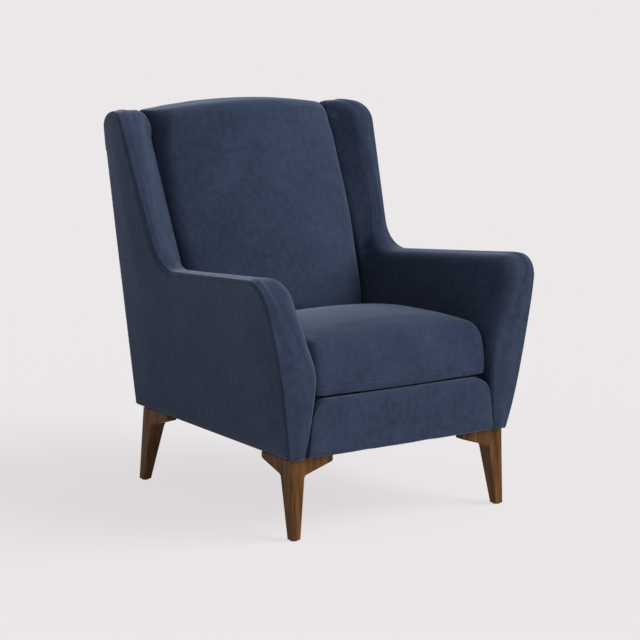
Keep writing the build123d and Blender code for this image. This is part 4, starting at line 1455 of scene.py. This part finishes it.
bm = bmesh.new()
staples = 0
for start, end in zip(dust_corners, dust_corners[1:] + dust_corners[:1]):
    way = (end - start).normalized()
    inward = Vector((-way.y, way.x))
    if inward.dot(start) > 0.0:
        inward = -inward
    free = (end - start).length - 2 * LEG_CLEAR
    for step in range(int(free / STAPLE_STEP) + 1):
        add_staple(bm, start + way * (LEG_CLEAR + step * STAPLE_STEP) + inward * STAPLE_INSET, way)
        staples += 1
new_piece("dust_cover_staples", bm, zinc, "chair")
print(staples, "staples")

# %% [markdown]
# ## Zip
# The cushion's cover closes with a zip at the back. Two woven tapes meet at a row of small teeth, and the
# slider runs along them. The tape is a strip cut into squares, and one tooth is made and repeated.

# %% Zip
TAPE_DARK = (0.012, 0.015, 0.024, 1.0)
TAPE_PALE = (0.040, 0.050, 0.075, 1.0)
TAPE_THICK = 0.0012
TOOTH = (0.0020, 0.0016, 0.0052)
TOOTH_EDGE = 0.0004
TOOTH_STEP = 0.0034

tape_low, tape_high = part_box("cushion_zip_tape")
tape_middle = (tape_low + tape_high) / 2
tape_half = (tape_high - tape_low) / 2
zip_place = Matrix.Translation(tape_middle) @ Matrix.Rotation(-atan(SEAT_FALL), 4, "X")

bm = bmesh.new()
strip = [(0.0, -tape_half.x, -tape_half.z), (0.0, tape_half.x, -tape_half.z),
         (0.0, tape_half.x, tape_half.z), (0.0, -tape_half.x, tape_half.z)]
for vert in cut_squares(bm, bm.faces.new([bm.verts.new(corner) for corner in strip]), FINE_SQUARE):
    vert.co = (vert.co.y, 0.0, vert.co.z)
face_outwards(bm, Vector((0.0, 1.0, 0.0)))
bmesh.ops.transform(bm, matrix=zip_place, verts=bm.verts)
tape_cloth = make_woven("zip_tape_cloth", TAPE_DARK, TAPE_PALE, pace=1400.0, depth=0.0002)
tape = new_piece("cushion_zip_cloth", bm, tape_cloth, "seat_cushion")
give_thickness(tape, TAPE_THICK)
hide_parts("cushion_zip_tape")

bm = bmesh.new()
teeth = int(2 * tape_half.x / TOOTH_STEP)
for tooth in range(teeth):
    x = (tooth - (teeth - 1) / 2) * TOOTH_STEP
    add_block(bm, zip_place @ Matrix.Translation((x, TOOTH[1] / 2, 0.0)), TOOTH, TOOTH_EDGE)
new_piece("cushion_zip_teeth", bm, glide_plastic, "seat_cushion")
print("zip", round(2 * tape_half.x, 3), "m long with", teeth, "teeth")

# %% Pull of the zip slider
SLIDER_FLAP = (0.006, 0.0012, 0.020)
FLAP_EDGE = 0.0005

slider_low, slider_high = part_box("cushion_zip_slider")
hang = Vector(((slider_low.x + slider_high.x) / 2, slider_high.y + SLIDER_FLAP[1] / 2, slider_low.z))
bm = bmesh.new()
add_block(bm, Matrix.Translation(hang), SLIDER_FLAP, FLAP_EDGE, segments=2)
pull = new_piece("zip_slider_pull", bm, spring_wire, "zip_slider")
print(pull.name, "hangs at", [round(place, 3) for place in hang])

# %% Bed of the zip
RECESS_EDGE = 0.004


def by_tape(place):
    """True at the cushion's back where the zip tape lies, with a small margin."""
    beside = abs(place.x) > tape_half.x + RECESS_EDGE
    past = abs(place.z - tape_middle.z) > tape_half.z + RECESS_EDGE
    return place.y > tape_low.y - CUSHION_DEPTH_HALF / 2 and not (beside or past)


sunk = 0
for vert in cushion.data.vertices:
    bed = tape_middle.y - 2 * TAPE_THICK + (vert.co.z - tape_middle.z) * SEAT_FALL
    if by_tape(vert.co) and vert.co.y > bed:
        vert.co.y = bed
        sunk += 1
print(sunk, "points of the cushion sunk under the zip tape")
